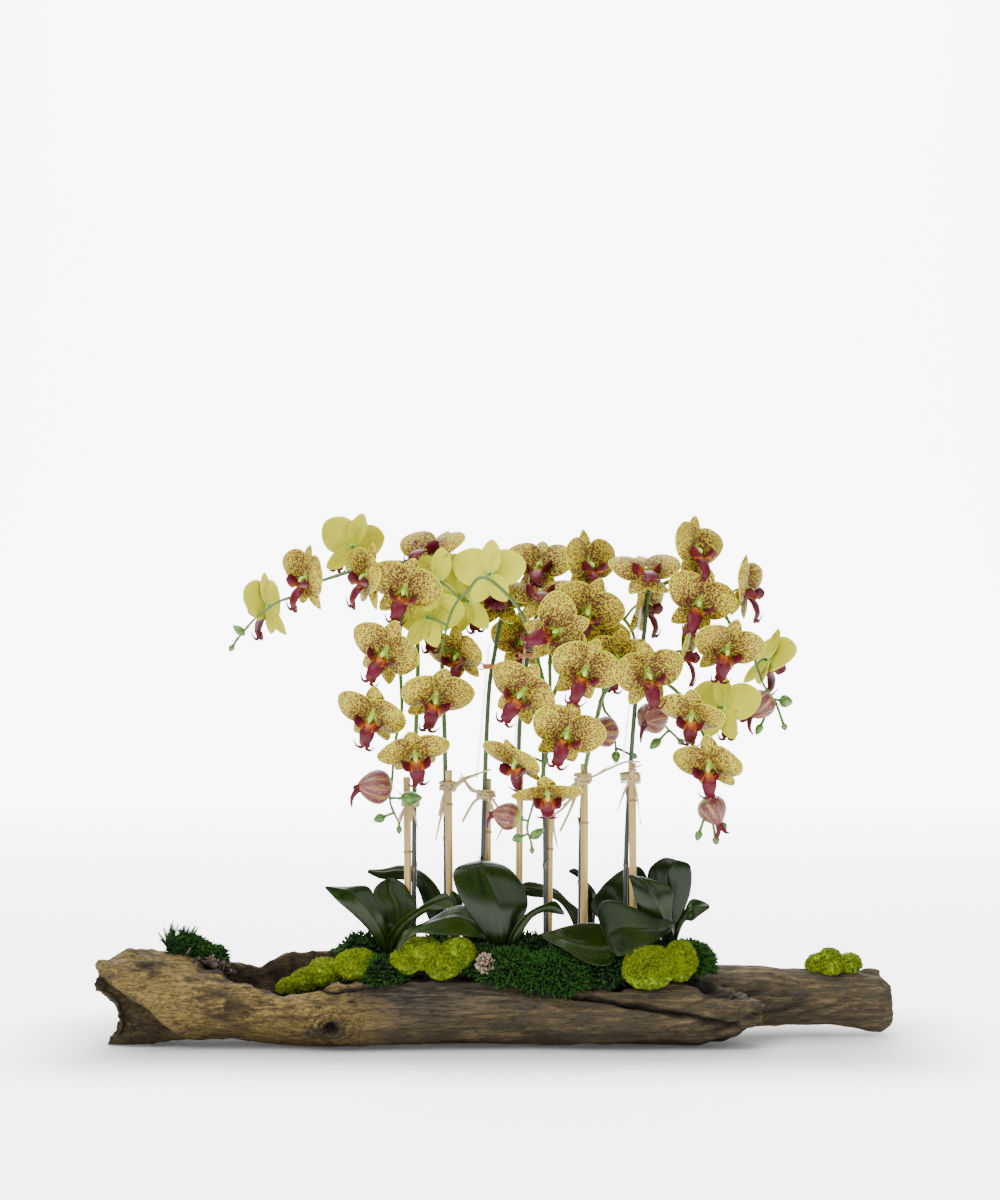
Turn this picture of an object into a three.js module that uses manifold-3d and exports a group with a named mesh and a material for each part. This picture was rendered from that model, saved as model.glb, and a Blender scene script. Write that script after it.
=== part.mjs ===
// An arrangement of moth orchids growing from a hollowed driftwood log: seven arching flower
// sprays tied to bamboo stakes, strap leaves, moss and potting mix in the log's trough.
// Millimetres, +Z up. The viewer stands on the -Y side, and +X runs to the viewer's right.
import * as THREE from "three";
import { mergeVertices } from "three/addons/utils/BufferGeometryUtils.js";
import Module from "manifold-3d";

const wasm = await Module();
wasm.setup();

// ---- driving dimensions -------------------------------------------------------------------
const LOG_LENGTH_SCALE = 1; // stretches the log and its trough along X
const LOG_WALL = 16; // thickness of wood left in front of and behind the trough
const TROUGH_FLOOR = 40; // height of the trough's floor above the ground
const FIT_GAP = 0.4; // air left between pieces that lie against each other
const SOIL_RISE = 4; // how far the potting mix stands above the front rim
const BLOOM_RADIUS = 45; // throat to petal tip of a full-size bloom
const BLOOM_THICKNESS = 5; // at the throat; the petals thin out to an edge
const PEDICEL_RADIUS = 1.5;
const RACHIS_RADIUS = 2.2; // the arching, flower-bearing part of a spray
const STALK_RADIUS = 3.1; // the straight part below it
const STAKE_RADIUS = 4.2; // bamboo
const ROD_RADIUS = 1.7; // clear support rod
const LEAF_THICKNESS = 2.2;
const STALK_SIDES = 7;
const UP = new THREE.Vector3(0, 0, 1);

// ---- materials ----------------------------------------------------------------------------
const finish = (color, roughness, extra = {}) =>
  new THREE.MeshStandardMaterial({ color, roughness, metalness: 0, ...extra });
const MATERIAL = {
  wood: finish("#7d6444", 0.85),
  soil: finish("#2b2118", 1),
  leaf: finish("#23401c", 0.35),
  stalk: finish("#26331f", 0.4),
  bloom: finish("#c9bd55", 0.65),
  bamboo: finish("#c9b184", 0.6),
  rod: finish("#eef2f2", 0.1, { transparent: true, opacity: 0.35 }),
  wire: finish("#a8663a", 0.5),
  raffia: finish("#cdbb95", 0.8),
  cushionMoss: finish("#8ea51a", 0.95),
  sheetMoss: finish("#1f5a1c", 0.95),
  cone: finish("#b3a08c", 0.9),
};

// ---- solids -------------------------------------------------------------------------------
// A closed geometry as a manifold-3d solid, and back.
function solid(geometry) {
  const bare = geometry.clone();
  bare.deleteAttribute("normal");
  bare.deleteAttribute("uv");
  const merged = mergeVertices(bare, 1e-3);
  return new wasm.Manifold(
    new wasm.Mesh({
      numProp: 3,
      vertProperties: merged.attributes.position.array,
      triVerts: new Uint32Array(merged.index.array),
    }),
  );
}

function geometryOf(made) {
  const mesh = made.getMesh();
  const geometry = new THREE.BufferGeometry();
  const position = new Float32Array(mesh.numVert * 3);
  for (let i = 0; i < mesh.numVert; i++) {
    position.set(mesh.vertProperties.subarray(i * mesh.numProp, i * mesh.numProp + 3), i * 3);
  }
  geometry.setAttribute("position", new THREE.BufferAttribute(position, 3));
  geometry.setIndex(new THREE.BufferAttribute(mesh.triVerts, 1));
  geometry.computeVertexNormals();
  return geometry;
}

// The same solid with every face pushed out by a distance, used to cut room for a neighbour.
function grown(made, distance) {
  const geometry = geometryOf(made);
  const position = geometry.attributes.position;
  const normal = geometry.attributes.normal;
  for (let i = 0; i < position.count; i++) {
    position.setXYZ(
      i,
      position.getX(i) + normal.getX(i) * distance,
      position.getY(i) + normal.getY(i) * distance,
      position.getZ(i) + normal.getZ(i) * distance,
    );
  }
  return solid(geometry);
}

const largest = (made) =>
  made.decompose().reduce((a, b) => (b.volume() > a.volume() ? b : a));

// Whether two solids' boxes meet.
function boxesMeet(one, other) {
  const a = one.boundingBox();
  const b = other.boundingBox();
  return [0, 1, 2].every((k) => a.min[k] < b.max[k] && b.min[k] < a.max[k]);
}

// ---- shapes -------------------------------------------------------------------------------
// A closed skin over rings of equal point counts, with a fan on each end ring.
function loft(rings, endPoints) {
  const count = rings[0].length;
  const points = rings.flat();
  const faces = [];
  for (let r = 0; r + 1 < rings.length; r++) {
    for (let i = 0; i < count; i++) {
      const a = r * count + i;
      const b = r * count + ((i + 1) % count);
      faces.push(a, b, a + count, b, b + count, a + count);
    }
  }
  const mean = (ring) =>
    ring.reduce((sum, p) => sum.add(p), new THREE.Vector3()).divideScalar(count);
  const ends = endPoints ?? [mean(rings[0]), mean(rings[rings.length - 1])];
  points.push(...ends);
  const last = (rings.length - 1) * count;
  for (let i = 0; i < count; i++) {
    const next = (i + 1) % count;
    faces.push(next, i, points.length - 2);
    faces.push(last + i, last + next, points.length - 1);
  }
  const geometry = new THREE.BufferGeometry().setFromPoints(points);
  geometry.setIndex(faces);
  return geometry;
}

const vectors = (rows) => rows.map(([x, y, z]) => new THREE.Vector3(x, y, z));
const smooth = (rows) => new THREE.CatmullRomCurve3(vectors(rows), false, "centripetal");

// A round bar along a curve.
function bar(curve, radius, steps, sides = STALK_SIDES) {
  const section = new THREE.Shape();
  for (let i = 0; i < sides; i++) {
    const angle = (i / sides) * 2 * Math.PI;
    const [u, v] = [radius * Math.cos(angle), radius * Math.sin(angle)];
    if (i === 0) section.moveTo(u, v);
    else section.lineTo(u, v);
  }
  section.closePath();
  return solid(new THREE.ExtrudeGeometry(section, { steps, extrudePath: curve }));
}

// An egg-shaped solid of given length and width, its length along a direction.
function egg(centre, direction, length, width, detail = 1) {
  const geometry = new THREE.IcosahedronGeometry(0.5, detail);
  geometry.scale(width, width, length);
  const turn = new THREE.Quaternion().setFromUnitVectors(UP, direction.clone().normalize());
  geometry.applyQuaternion(turn);
  geometry.translate(...centre);
  return solid(geometry);
}

// ---- the log ------------------------------------------------------------------------------
// Sections of the trunk: x, front and back edge in y, underside and top in z.
const TRUNK = [
  [-466, -50, 44, 0, 98],
  [-440, -60, 52, 0, 114],
  [-399, -66, 57, 3, 110],
  [-361, -70, 62, 6, 104],
  [-315, -74, 68, 7, 96],
  [-274, -76, 72, 5, 94],
  [-244, -78, 76, 3, 96],
  [-191, -82, 78, 0, 100],
  [-132, -80, 80, 1, 98],
  [-14, -78, 82, 3, 98],
  [81, -78, 80, 3, 94],
  [152, -78, 76, 2, 90],
  [247, -74, 40, 3, 84],
  [290, -66, 14, 12, 74],
  [312, -52, -8, 30, 62],
];
// The back limb, which runs on past the trunk's broken end.
const LIMB = [
  [120, 14, 84, 14, 88],
  [200, 4, 88, 12, 91],
  [300, 6, 88, 13, 87],
  [378, 10, 86, 14, 83],
  [440, 13, 84, 12, 79],
  [474, 15, 82, 9, 77],
  [486, 22, 74, 16, 68],
];
const SECTION_POINTS = 18;
const SQUARENESS = 0.86; // under 1 fills a section's corners out towards its box

function woodRing([x, front, back, low, high], jag = () => 0) {
  const ring = [];
  for (let i = 0; i < SECTION_POINTS; i++) {
    const angle = (i / SECTION_POINTS) * 2 * Math.PI;
    const [c, s] = [Math.cos(angle), Math.sin(angle)];
    const bend = (v) => Math.sign(v) * Math.abs(v) ** SQUARENESS;
    const lumps = 1 + 0.03 * Math.sin(3 * angle + x / 40) + 0.02 * Math.sin(5 * angle - x / 55);
    ring.push(
      new THREE.Vector3(
        (x + jag(c, s)) * LOG_LENGTH_SCALE,
        (front + back) / 2 + (bend(c) * lumps * (back - front)) / 2,
        (low + high) / 2 + (bend(s) * lumps * (high - low)) / 2,
      ),
    );
  }
  return ring;
}

// The torn root end reaches out in a high lobe and a low foot, with a notch between them.
const rootEnd = (c, s) => 16 - 34 * Math.max(0, Math.cos(2.4 * (s - 0.55))) - 12 * Math.max(0, -s);
const splinterEnd = (c, s) => 10 * Math.sin(4 * s + 2 * c);

function trunkSolid() {
  const trunk = TRUNK.map((row, i) =>
    woodRing(row, i === 0 ? rootEnd : i === TRUNK.length - 1 ? splinterEnd : undefined),
  );
  const rootHollow = new THREE.Vector3(-438 * LOG_LENGTH_SCALE, -4, 46);
  const splinterTip = new THREE.Vector3(322 * LOG_LENGTH_SCALE, -32, 48);
  return solid(loft(trunk, [rootHollow, splinterTip]));
}

// Trough sections: x, inner front edge, inner back edge, floor, height of the front rim.
const TROUGH = [
  [-345, -28, 22, 94, 110],
  [-315, -50, 50, 64, 90],
  [-274, 0, 0, TROUGH_FLOOR + 6, 75],
  [-244, 0, 0, TROUGH_FLOOR, 67],
  [-205, 0, 0, TROUGH_FLOOR, 76],
  [-170, 0, 0, TROUGH_FLOOR, 88],
  [-132, 0, 0, TROUGH_FLOOR, 96],
  [-14, 0, 0, TROUGH_FLOOR, 94],
  [81, 0, 0, TROUGH_FLOOR, 86],
  [152, 0, 0, TROUGH_FLOOR, 86],
  [214, -38, 34, 62, 86],
];
const RIM_SHELF = 60; // how far the rim cut runs out in front of the trough
const SKY = 160; // above any wood

// The trunk's front and back edge at an x, read between its sections.
function trunkEdges(x) {
  const k = Math.max(1, TRUNK.findIndex((row) => row[0] >= x));
  const [a, b] = [TRUNK[k - 1], TRUNK[k]];
  const t = (x - a[0]) / (b[0] - a[0]);
  return [a[1] + (b[1] - a[1]) * t, a[2] + (b[2] - a[2]) * t];
}

function troughSolid(inset, ceiling) {
  const rings = TROUGH.map(([x, front, back, floor, rim], i) => {
    const [outerFront, outerBack] = trunkEdges(x);
    const near = (front || outerFront + LOG_WALL) + inset;
    const far = (back || outerBack - LOG_WALL) - inset;
    const low = floor + inset;
    const top = ceiling ?? SKY;
    const lip = ceiling ? Math.min(rim, ceiling - 1) : rim;
    const shelf = ceiling ? near - 0.5 : near - RIM_SHELF;
    const end = i === 0 ? inset : i === TROUGH.length - 1 ? -inset : 0;
    const at = (y, z) => new THREE.Vector3((x + end) * LOG_LENGTH_SCALE, y, z);
    return [
      at(near, lip),
      at(near + 6, Math.min((low + lip) / 2, lip - 1)),
      at(near + 18, low),
      at(far - 18, low),
      at(far - 4, (low + top) / 2),
      at(far, top),
      at(shelf, top),
      at(shelf, lip),
    ];
  });
  return solid(loft(rings));
}

function logSolid() {
  const limb = solid(loft(LIMB.map((row) => woodRing(row))));
  const groove = egg(
    new THREE.Vector3(322 * LOG_LENGTH_SCALE, 52, 92),
    new THREE.Vector3(1, 0, -0.03),
    190,
    24,
  );
  const knot = egg(
    new THREE.Vector3(462 * LOG_LENGTH_SCALE, 58, 76),
    new THREE.Vector3(1, 0, 0.1),
    34,
    13,
  );
  const ground = new THREE.BoxGeometry(2000, 400, 60);
  ground.translate(0, 0, -30 + 2.5);
  return largest(
    trunkSolid()
      .add(limb)
      .subtract(troughSolid(0))
      .subtract(groove)
      .add(knot)
      .subtract(solid(ground)),
  ).translate(0, 0, -2.5);
}

// ---- flower sprays ------------------------------------------------------------------------
// One row per bloom: throat x, y, z, then the way it faces: degrees to the right of the viewer,
// degrees upwards, and degrees of clockwise roll; last its size.
// Half-open blooms and buds: centre x, y, z, length, width.
const SPRAYS = [
  {
    stalk: [[-94, 10, 78], [-93, 9, 300], [-89, 6, 440], [-89, 6, 471]],
    routes: [
      [[-89, 6, 471], [-92, 3, 506], [-102, -3, 520], [-110, -6, 496], [-109, -8, 440],
        [-108, -8, 395], [-116, -8, 360], [-119, -8, 320], [-122, -8, 290], [-111, -8, 264]],
    ],
    blooms: [
      [-126, -34, 470, -22, -12, 28, 1],
      [-141, -34, 395, -25, -28, 20, 1],
      [-68, -44, 418, 14, -32, 12, 1],
      [-91, -50, 351, 14, -45, -12, 1],
    ],
    halfOpen: [[-140, -16, 309, 44, 40]],
    buds: [[-96, -14, 295, 27, 17], [-135, -8, 270, 15, 11], [-111, -8, 256, 10, 7]],
  },
  {
    stalk: [[-55, 24, 78], [-56, 22, 300], [-58, 20, 400], [-64, 18, 540]],
    routes: [
      [[-64, 18, 540], [-78, 16, 566], [-110, 14, 577], [-150, 10, 572], [-182, 6, 562],
        [-208, 2, 553], [-230, -2, 538], [-255, -4, 530], [-283, -6, 510], [-304, -6, 486]],
    ],
    blooms: [
      [-270, 14, 524, -115, -8, 0, 1],
      [-220, -24, 558, -56, -4, 12, 1],
      [-170, 36, 596, -155, 15, -15, 1],
      [-148, -12, 560, -62, 0, 12, 1],
      [-104, -32, 545, -4, -20, 18, 1],
      [-74, 14, 590, -35, 50, 0, 1],
    ],
    halfOpen: [],
    buds: [[-303, -6, 496, 18, 10], [-312, -6, 474, 9, 7]],
  },
  {
    stalk: [[-12, 0, 78], [-10, 0, 250], [-4, 4, 412], [4, 10, 470], [10, 14, 505]],
    routes: [
      [[10, 14, 505], [24, 24, 526], [50, 36, 540], [84, 44, 530], [112, 46, 505],
        [130, 40, 470], [134, 32, 430], [136, 26, 400], [146, 22, 385], [150, 18, 352]],
    ],
    blooms: [
      [10, 22, 530, -5, 55, 0, 1],
      [58, 52, 570, -10, 35, 0, 1],
      [-8, 50, 560, -110, 20, 0, 1],
      [37, 50, 480, 0, -5, 0, 0.9],
      [121, 4, 482, 0, 0, 10, 1],
    ],
    halfOpen: [[134, 8, 373, 40, 36]],
    buds: [[150, 14, 342, 15, 11], [172, 14, 343, 9, 8]],
  },
  {
    stalk: [[36, 34, 78], [33, 34, 355], [45, 34, 470], [54, 32, 512]],
    routes: [
      [[54, 32, 512], [72, 28, 526], [98, 22, 534], [130, 24, 528], [160, 26, 508],
        [174, 24, 480], [178, 22, 440], [190, 18, 408], [200, 16, 392], [214, 14, 374]],
    ],
    blooms: [
      [58, 2, 536, 5, 60, 0, 1],
      [115, 12, 574, 45, 5, 5, 1],
      [114, -20, 518, 5, -5, 18, 1],
      [184, 26, 526, 65, -5, 0, 1],
      [150, -18, 461, -8, -25, 10, 0.95],
    ],
    halfOpen: [[192, 2, 390, 42, 38]],
    buds: [[197, 10, 358, 18, 11], [229, 14, 360, 10, 8]],
  },
  {
    stalk: [[65, -12, 78], [64, -12, 250], [62, -16, 330], [64, -20, 400]],
    routes: [
      [[64, -20, 400], [66, -26, 420], [61, -30, 438], [50, -34, 478], [35, -37, 518],
        [14, -39, 543], [-4, -39, 558], [-16, -37, 558], [-28, -35, 544], [-44, -34, 526],
        [-54, -34, 497], [-62, -34, 464]],
      [[64, -20, 400], [82, -36, 440], [87, -48, 474], [80, -54, 492], [70, -57, 470],
        [69, -57, 430], [68, -57, 395], [65, -55, 350], [57, -53, 316], [46, -50, 280],
        [42, -50, 262], [47, -50, 246]],
    ],
    blooms: [
      [-2, -14, 563, 180, -10, 0, 1],
      [-62, -12, 554, -165, 0, 0, 1],
      [-76, -16, 510, 160, -15, 0, 1],
      [-28, -2, 530, 170, 0, 10, 1],
      [-40, -6, 466, -35, -20, 0, 0.9],
      [76, -82, 497, -10, 0, 70, 1],
      [108, -86, 451, 5, -18, 22, 1],
      [36, -78, 424, -24, -14, 32, 1],
      [87, -82, 377, 4, -16, 20, 1],
      [30, -74, 344, -48, -42, 12, 0.95],
      [66, -78, 308, 0, -60, 0, 0.95],
    ],
    halfOpen: [[18, -46, 277, 36, 32]],
    buds: [[54, -50, 257, 20, 11], [30, -50, 251, 13, 11], [48, -50, 236, 8, 6]],
  },
  {
    stalk: [[107, 20, 78], [108, 18, 250], [112, 10, 320], [120, -2, 366], [127, -10, 395]],
    routes: [
      [[127, -10, 395], [134, -18, 420], [150, -26, 437], [180, -30, 444], [205, -30, 436],
        [232, -30, 410], [250, -32, 376], [257, -32, 352], [260, -32, 312], [259, -32, 290]],
    ],
    blooms: [
      [183, -68, 445, 20, -6, -6, 1],
      [229, -6, 470, 75, -10, 4, 1],
      [277, -8, 403, 155, -5, 0, 1],
      [237, -62, 398, -24, -42, 12, 0.95],
      [258, -64, 339, -28, -35, 5, 1],
    ],
    halfOpen: [[263, -34, 282, 38, 34]],
    buds: [[276, -34, 263, 12, 9], [246, -34, 252, 13, 9], [267, -34, 246, 10, 9]],
  },
  {
    stalk: [[160, 8, 78], [163, 8, 250], [173, 6, 411], [183, 4, 490], [188, 4, 540]],
    routes: [
      [[188, 4, 540], [205, 6, 550], [223, 8, 556], [250, 10, 550], [270, 12, 530],
        [284, 12, 508], [294, 10, 490], [310, 10, 474], [320, 8, 450], [328, 6, 428],
        [340, 6, 412]],
    ],
    blooms: [
      [184, -8, 563, 8, 55, 0, 1],
      [243, -14, 591, 45, 5, 5, 1],
      [246, -28, 529, 6, -4, 20, 1],
      [304, -2, 545, 65, -5, 0, 1],
      [279, -26, 475, 10, -32, 12, 1],
      [334, 26, 458, 115, -25, 0, 1],
    ],
    halfOpen: [[322, 0, 405, 40, 34]],
    buds: [[354, 4, 410, 17, 15], [321, 2, 376, 15, 9], [352, 2, 379, 9, 8]],
  },
];

// Half of a bloom's outline, from the top sepal round the viewer's right to the bottom: degrees
// above the horizontal, share of the bloom's radius, and share brought forward of the throat.
const OUTLINE = [
  [90, 0.96, -0.04],
  [74, 0.78, 0],
  [58, 0.4, 0.02],
  [42, 0.82, 0.1],
  [16, 1, 0.14],
  [-8, 0.94, 0.14],
  [-26, 0.66, 0.08],
  [-36, 0.4, 0.02],
  [-50, 0.84, -0.04],
  [-66, 0.86, -0.04],
  [-90, 0.24, 0.02],
];

function bloomSolid(size) {
  const radius = BLOOM_RADIUS * size;
  const left = OUTLINE.slice(1, -1).map(([angle, r, f]) => [180 - angle, r, f]).reverse();
  const round = [...OUTLINE, ...left];
  const edge = round.map(([angle, r, f]) => {
    const a = THREE.MathUtils.degToRad(angle);
    return new THREE.Vector3(radius * r * Math.cos(a), -radius * f, radius * r * Math.sin(a));
  });
  const half = BLOOM_THICKNESS / 2;
  const throat = [new THREE.Vector3(0, -half, 0), new THREE.Vector3(0, half, 0)];
  const lip = new THREE.OctahedronGeometry(1);
  lip.scale(10 * size, 13 * size, 13 * size);
  lip.translate(0, -9 * size, -13 * size);
  return solid(loft([edge], throat)).add(solid(lip));
}

function facing(azimuth, elevation, roll) {
  const rad = THREE.MathUtils.degToRad;
  return new THREE.Matrix4().makeRotationFromEuler(
    new THREE.Euler(-rad(elevation), rad(roll), rad(azimuth), "ZXY"),
  );
}

const nearestOn = (curves, point) =>
  curves
    .flatMap((curve) => curve.getSpacedPoints(60))
    .reduce((a, b) => (b.distanceTo(point) < a.distanceTo(point) ? b : a));

function pedicel(curves, end) {
  const start = nearestOn(curves, end);
  const path = new THREE.LineCurve3(start, end);
  return start.distanceTo(end) < PEDICEL_RADIUS ? null : bar(path, PEDICEL_RADIUS, 1, 3);
}

function spraySolid({ routes, blooms, halfOpen, buds }) {
  const curves = routes.map(smooth);
  const pieces = curves.map((curve, i) =>
    bar(curve, RACHIS_RADIUS, Math.round(routes[i].length * 1.3), 5),
  );
  for (const [x, y, z, azimuth, elevation, roll, size] of blooms) {
    const turn = facing(azimuth, elevation, roll).setPosition(x, y, z);
    pieces.push(bloomSolid(size).transform(turn.elements));
    const back = new THREE.Vector3(0, BLOOM_THICKNESS / 2, 0).applyMatrix4(turn);
    pieces.push(pedicel(curves, back));
  }
  for (const [x, y, z, length, width] of [...halfOpen, ...buds]) {
    const centre = new THREE.Vector3(x, y, z);
    const away = centre.clone().sub(nearestOn(curves, centre));
    pieces.push(egg(centre, away, length, width, length > 30 ? 1 : 0));
    pieces.push(pedicel(curves, centre));
  }
  return largest(pieces.filter(Boolean).reduce((a, b) => a.add(b)));
}

// A stalk ends where the thinner stem that bears the flowers grows on from it.
const stalkSolid = ({ stalk }) => bar(smooth(stalk), STALK_RADIUS, 10);

// ---- stakes, rods and ties ----------------------------------------------------------------
// Bamboo stakes: the spray each belongs to, foot x, y, and height of the cut top.
const STAKES = [
  [1, -102, 10, 318],
  [2, -51, 14, 326],
  [3, -4, 11, 316],
  [4, 34, 25, 322],
  [5, 69, -5, 296],
  [6, 111, 10, 334],
  [7, 169, -3, 336],
];
const STAKE_FOOT = 78;
const NODE_SPACING = 95; // between a bamboo cane's rings
const NODE_BULGE = 0.7;

function stakeSolid([, x, y, top]) {
  const profile = [new THREE.Vector2(0, STAKE_FOOT)];
  profile.push(new THREE.Vector2(STAKE_RADIUS, STAKE_FOOT));
  for (let z = STAKE_FOOT + NODE_SPACING / 2; z < top - 12; z += NODE_SPACING) {
    profile.push(new THREE.Vector2(STAKE_RADIUS, z - 3));
    profile.push(new THREE.Vector2(STAKE_RADIUS + NODE_BULGE, z));
    profile.push(new THREE.Vector2(STAKE_RADIUS, z + 3));
  }
  profile.push(new THREE.Vector2(STAKE_RADIUS, top));
  profile.push(new THREE.Vector2(0, top));
  const geometry = new THREE.LatheGeometry(profile, 10);
  geometry.rotateX(Math.PI / 2);
  geometry.translate(x, y, 0);
  return solid(geometry);
}

// Clear rods that stiffen the tall stalks: spray, foot and top.
const RODS = [
  [3, [-18, -4, 318], [-3, 0, 480]],
  [4, [26, 33, 340], [42, 31, 486]],
  [7, [158, 2, 340], [182, -4, 552]],
];
const rodSolid = ([, foot, top]) =>
  bar(new THREE.LineCurve3(...vectors([foot, top])), ROD_RADIUS, 1, 6);

// An oval band round whatever stands side by side at a height.
function band(centre, halfX, halfY, height, wall) {
  const oval = new THREE.Shape().absellipse(0, 0, halfX + wall, halfY + wall, 0, 2 * Math.PI);
  const bore = new THREE.Path().absellipse(0, 0, halfX, halfY, 0, 2 * Math.PI);
  oval.holes.push(bore);
  const geometry = new THREE.ExtrudeGeometry(oval, {
    depth: height,
    bevelEnabled: false,
    curveSegments: 7,
  });
  geometry.translate(centre[0], centre[1], centre[2] - height / 2);
  return solid(geometry);
}
// Copper wire ties hold a rod to a stalk: spray, centre, half widths.
const WIRE_TIES = [
  [3, [-2, 4, 452], 8, 7],
  [4, [42, 33, 464], 8, 7],
  [7, [175, 2, 482], 9, 8],
];
// Raffia ties hold a stalk to its stake.
const RAFFIA_TIES = [
  [2, [-53, 18, 308], 9, 12],
  [3, [-7, 3, 298], 10, 9],
  [6, [110, 12, 318], 9, 12],
  [7, [167, 5, 318], 11, 9],
];

// ---- leaves -------------------------------------------------------------------------------
// Each row of edges crosses the leaf, from its foot to its tip: the place of one edge, then of the
// other. The fold moves its midrib off the plane of the edges, as a share of its half width.
const LEAVES = [
  {
    fold: 0.16,
    edges: [
      [-128, -21, 82, -120, -19, 82],
      [-132, -27, 113, -120, -24, 115],
      [-148, -36, 140, -125, -32, 149],
      [-168, -42, 161, -136, -34, 174],
      [-183, -46, 174, -147, -30, 192],
      [-192, -46, 184, -173, -34, 192],
      [-199, -43, 192, -196, -41, 193],
    ],
  },
  {
    fold: -0.14,
    edges: [
      [-122, -16, 82, -114, -12, 82],
      [-125, -20, 115, -113, -14, 116],
      [-129, -24, 146, -96, -12, 142],
      [-138, -24, 169, -88, -6, 164],
      [-143, -22, 183, -97, -1, 181],
      [-136, -16, 193, -106, 1, 192],
      [-123, -7, 199, -120, -5, 199],
    ],
  },
  {
    fold: 0.12,
    edges: [
      [-69, 44, 82, -59, 44, 82],
      [-68, 38, 120, -54, 38, 123],
      [-81, 37, 150, -57, 42, 157],
      [-88, 37, 172, -64, 46, 179],
      [-97, 36, 187, -83, 50, 199],
      [-117, 34, 191, -109, 46, 208],
      [-135, 32, 192, -131, 40, 204],
      [-153, 29, 201, -152, 31, 204],
    ],
  },
  {
    fold: -0.2,
    edges: [
      [-124, -33, 82, -116, -31, 82],
      [-126, -36, 122, -117, -34, 119],
      [-120, -48, 141, -105, -42, 137],
      [-106, -56, 157, -90, -48, 152],
      [-87, -58, 169, -78, -46, 161],
      [-70, -54, 180, -63, -46, 165],
      [-56, -46, 186, -49, -42, 167],
      [-49, -40, 180, -47, -40, 176],
    ],
  },
  {
    fold: 0.1,
    edges: [
      [-13, -28, 81, -11, -20, 83],
      [-9, -28, 122, -7, -20, 133],
      [-23, -48, 132, -14, -19, 153],
      [-47, -60, 136, -34, -16, 168],
      [-70, -66, 139, -55, -32, 163],
      [-87, -70, 141, -79, -52, 151],
      [-99, -70, 132, -103, -64, 143],
      [-112, -69, 118, -113, -67, 121],
    ],
  },
  {
    fold: 0.2,
    edges: [
      [4, -33, 82, 16, -31, 82],
      [4, -34, 117, 22, -32, 119],
      [-9, -38, 132, 31, -34, 141],
      [-28, -44, 160, 44, -30, 165],
      [-41, -44, 182, 43, -26, 183],
      [-48, -40, 205, 31, -20, 203],
      [-41, -32, 215, 15, -14, 215],
      [-16, -13, 220, -12, -11, 220],
    ],
  },
  {
    fold: -0.2,
    edges: [
      [16, -35, 83, 24, -33, 81],
      [19, -40, 124, 27, -38, 120],
      [31, -50, 151, 37, -42, 139],
      [47, -56, 166, 48, -46, 156],
      [62, -56, 174, 63, -44, 162],
      [76, -50, 177, 75, -40, 159],
      [87, -43, 161, 87, -41, 158],
    ],
  },
  {
    fold: 0.1,
    edges: [
      [96, 44, 82, 104, 44, 82],
      [101, 42, 120, 115, 42, 122],
      [95, 42, 144, 110, 44, 149],
      [84, 44, 160, 94, 48, 163],
      [73, 45, 166, 80, 53, 177],
      [59, 45, 167, 62, 54, 184],
      [44, 45, 169, 44, 52, 187],
      [29, 44, 177, 29, 46, 181],
    ],
  },
  {
    fold: 0.15,
    edges: [
      [112, 56, 82, 120, 56, 82],
      [115, 54, 122, 125, 54, 123],
      [115, 50, 153, 128, 56, 157],
      [113, 47, 174, 128, 54, 173],
      [107, 45, 189, 117, 48, 187],
      [99, 42, 196, 104, 44, 203],
      [92, 40, 200, 94, 40, 203],
    ],
  },
  {
    fold: -0.1,
    edges: [
      [179, 23, 81, 189, 25, 83],
      [179, 26, 122, 197, 30, 129],
      [153, 24, 137, 198, 42, 164],
      [131, 20, 142, 193, 48, 190],
      [119, 19, 156, 181, 48, 207],
      [121, 22, 167, 158, 43, 202],
      [134, 30, 183, 136, 32, 186],
    ],
  },
  {
    fold: 0.14,
    edges: [
      [199, 18, 82, 209, 18, 82],
      [211, 14, 124, 227, 14, 129],
      [205, 18, 151, 233, 12, 156],
      [194, 23, 175, 240, 10, 175],
      [187, 25, 192, 243, 9, 194],
      [191, 23, 208, 242, 9, 208],
      [208, 19, 220, 238, 10, 214],
      [225, 14, 217, 229, 12, 216],
    ],
  },
  {
    fold: 0.12,
    edges: [
      [190, -3, 82, 198, -1, 82],
      [204, -4, 129, 217, -2, 133],
      [189, -15, 153, 217, -6, 154],
      [177, -22, 164, 218, -8, 173],
      [170, -24, 178, 215, -8, 188],
      [166, -24, 193, 197, -11, 196],
      [163, -21, 204, 167, -19, 204],
    ],
  },
  {
    fold: 0.14,
    edges: [
      [209, 13, 84, 215, 11, 84],
      [219, 8, 130, 226, 6, 128],
      [230, 11, 152, 234, 7, 144],
      [240, 15, 170, 241, 2, 144],
      [254, 18, 168, 250, 4, 151],
      [264, 12, 163, 264, 10, 160],
    ],
  },
  {
    fold: -0.12,
    edges: [
      [203, -19, 80, 205, -13, 84],
      [217, -20, 135, 219, -16, 142],
      [202, -42, 131, 196, -24, 153],
      [184, -58, 124, 172, -31, 165],
      [170, -66, 118, 148, -38, 177],
      [158, -70, 114, 131, -48, 177],
      [150, -72, 113, 124, -60, 163],
      [141, -73, 121, 139, -73, 124],
    ],
  },
  {
    fold: -0.1,
    edges: [
      [146, -34, 81, 146, -26, 83],
      [148, -44, 118, 149, -26, 139],
      [144, -64, 104, 135, -28, 146],
      [128, -74, 101, 119, -32, 150],
      [107, -76, 108, 99, -40, 149],
      [86, -74, 122, 80, -50, 145],
      [59, -61, 135, 58, -59, 137],
    ],
  },
  {
    fold: 0.12,
    edges: [
      [-34, -5, 82, -26, -7, 82],
      [-36, -2, 133, -26, -4, 136],
      [-44, -2, 157, -33, -4, 161],
      [-51, -2, 172, -38, -4, 176],
      [-49, -3, 182, -46, -3, 183],
    ],
  },
];
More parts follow.
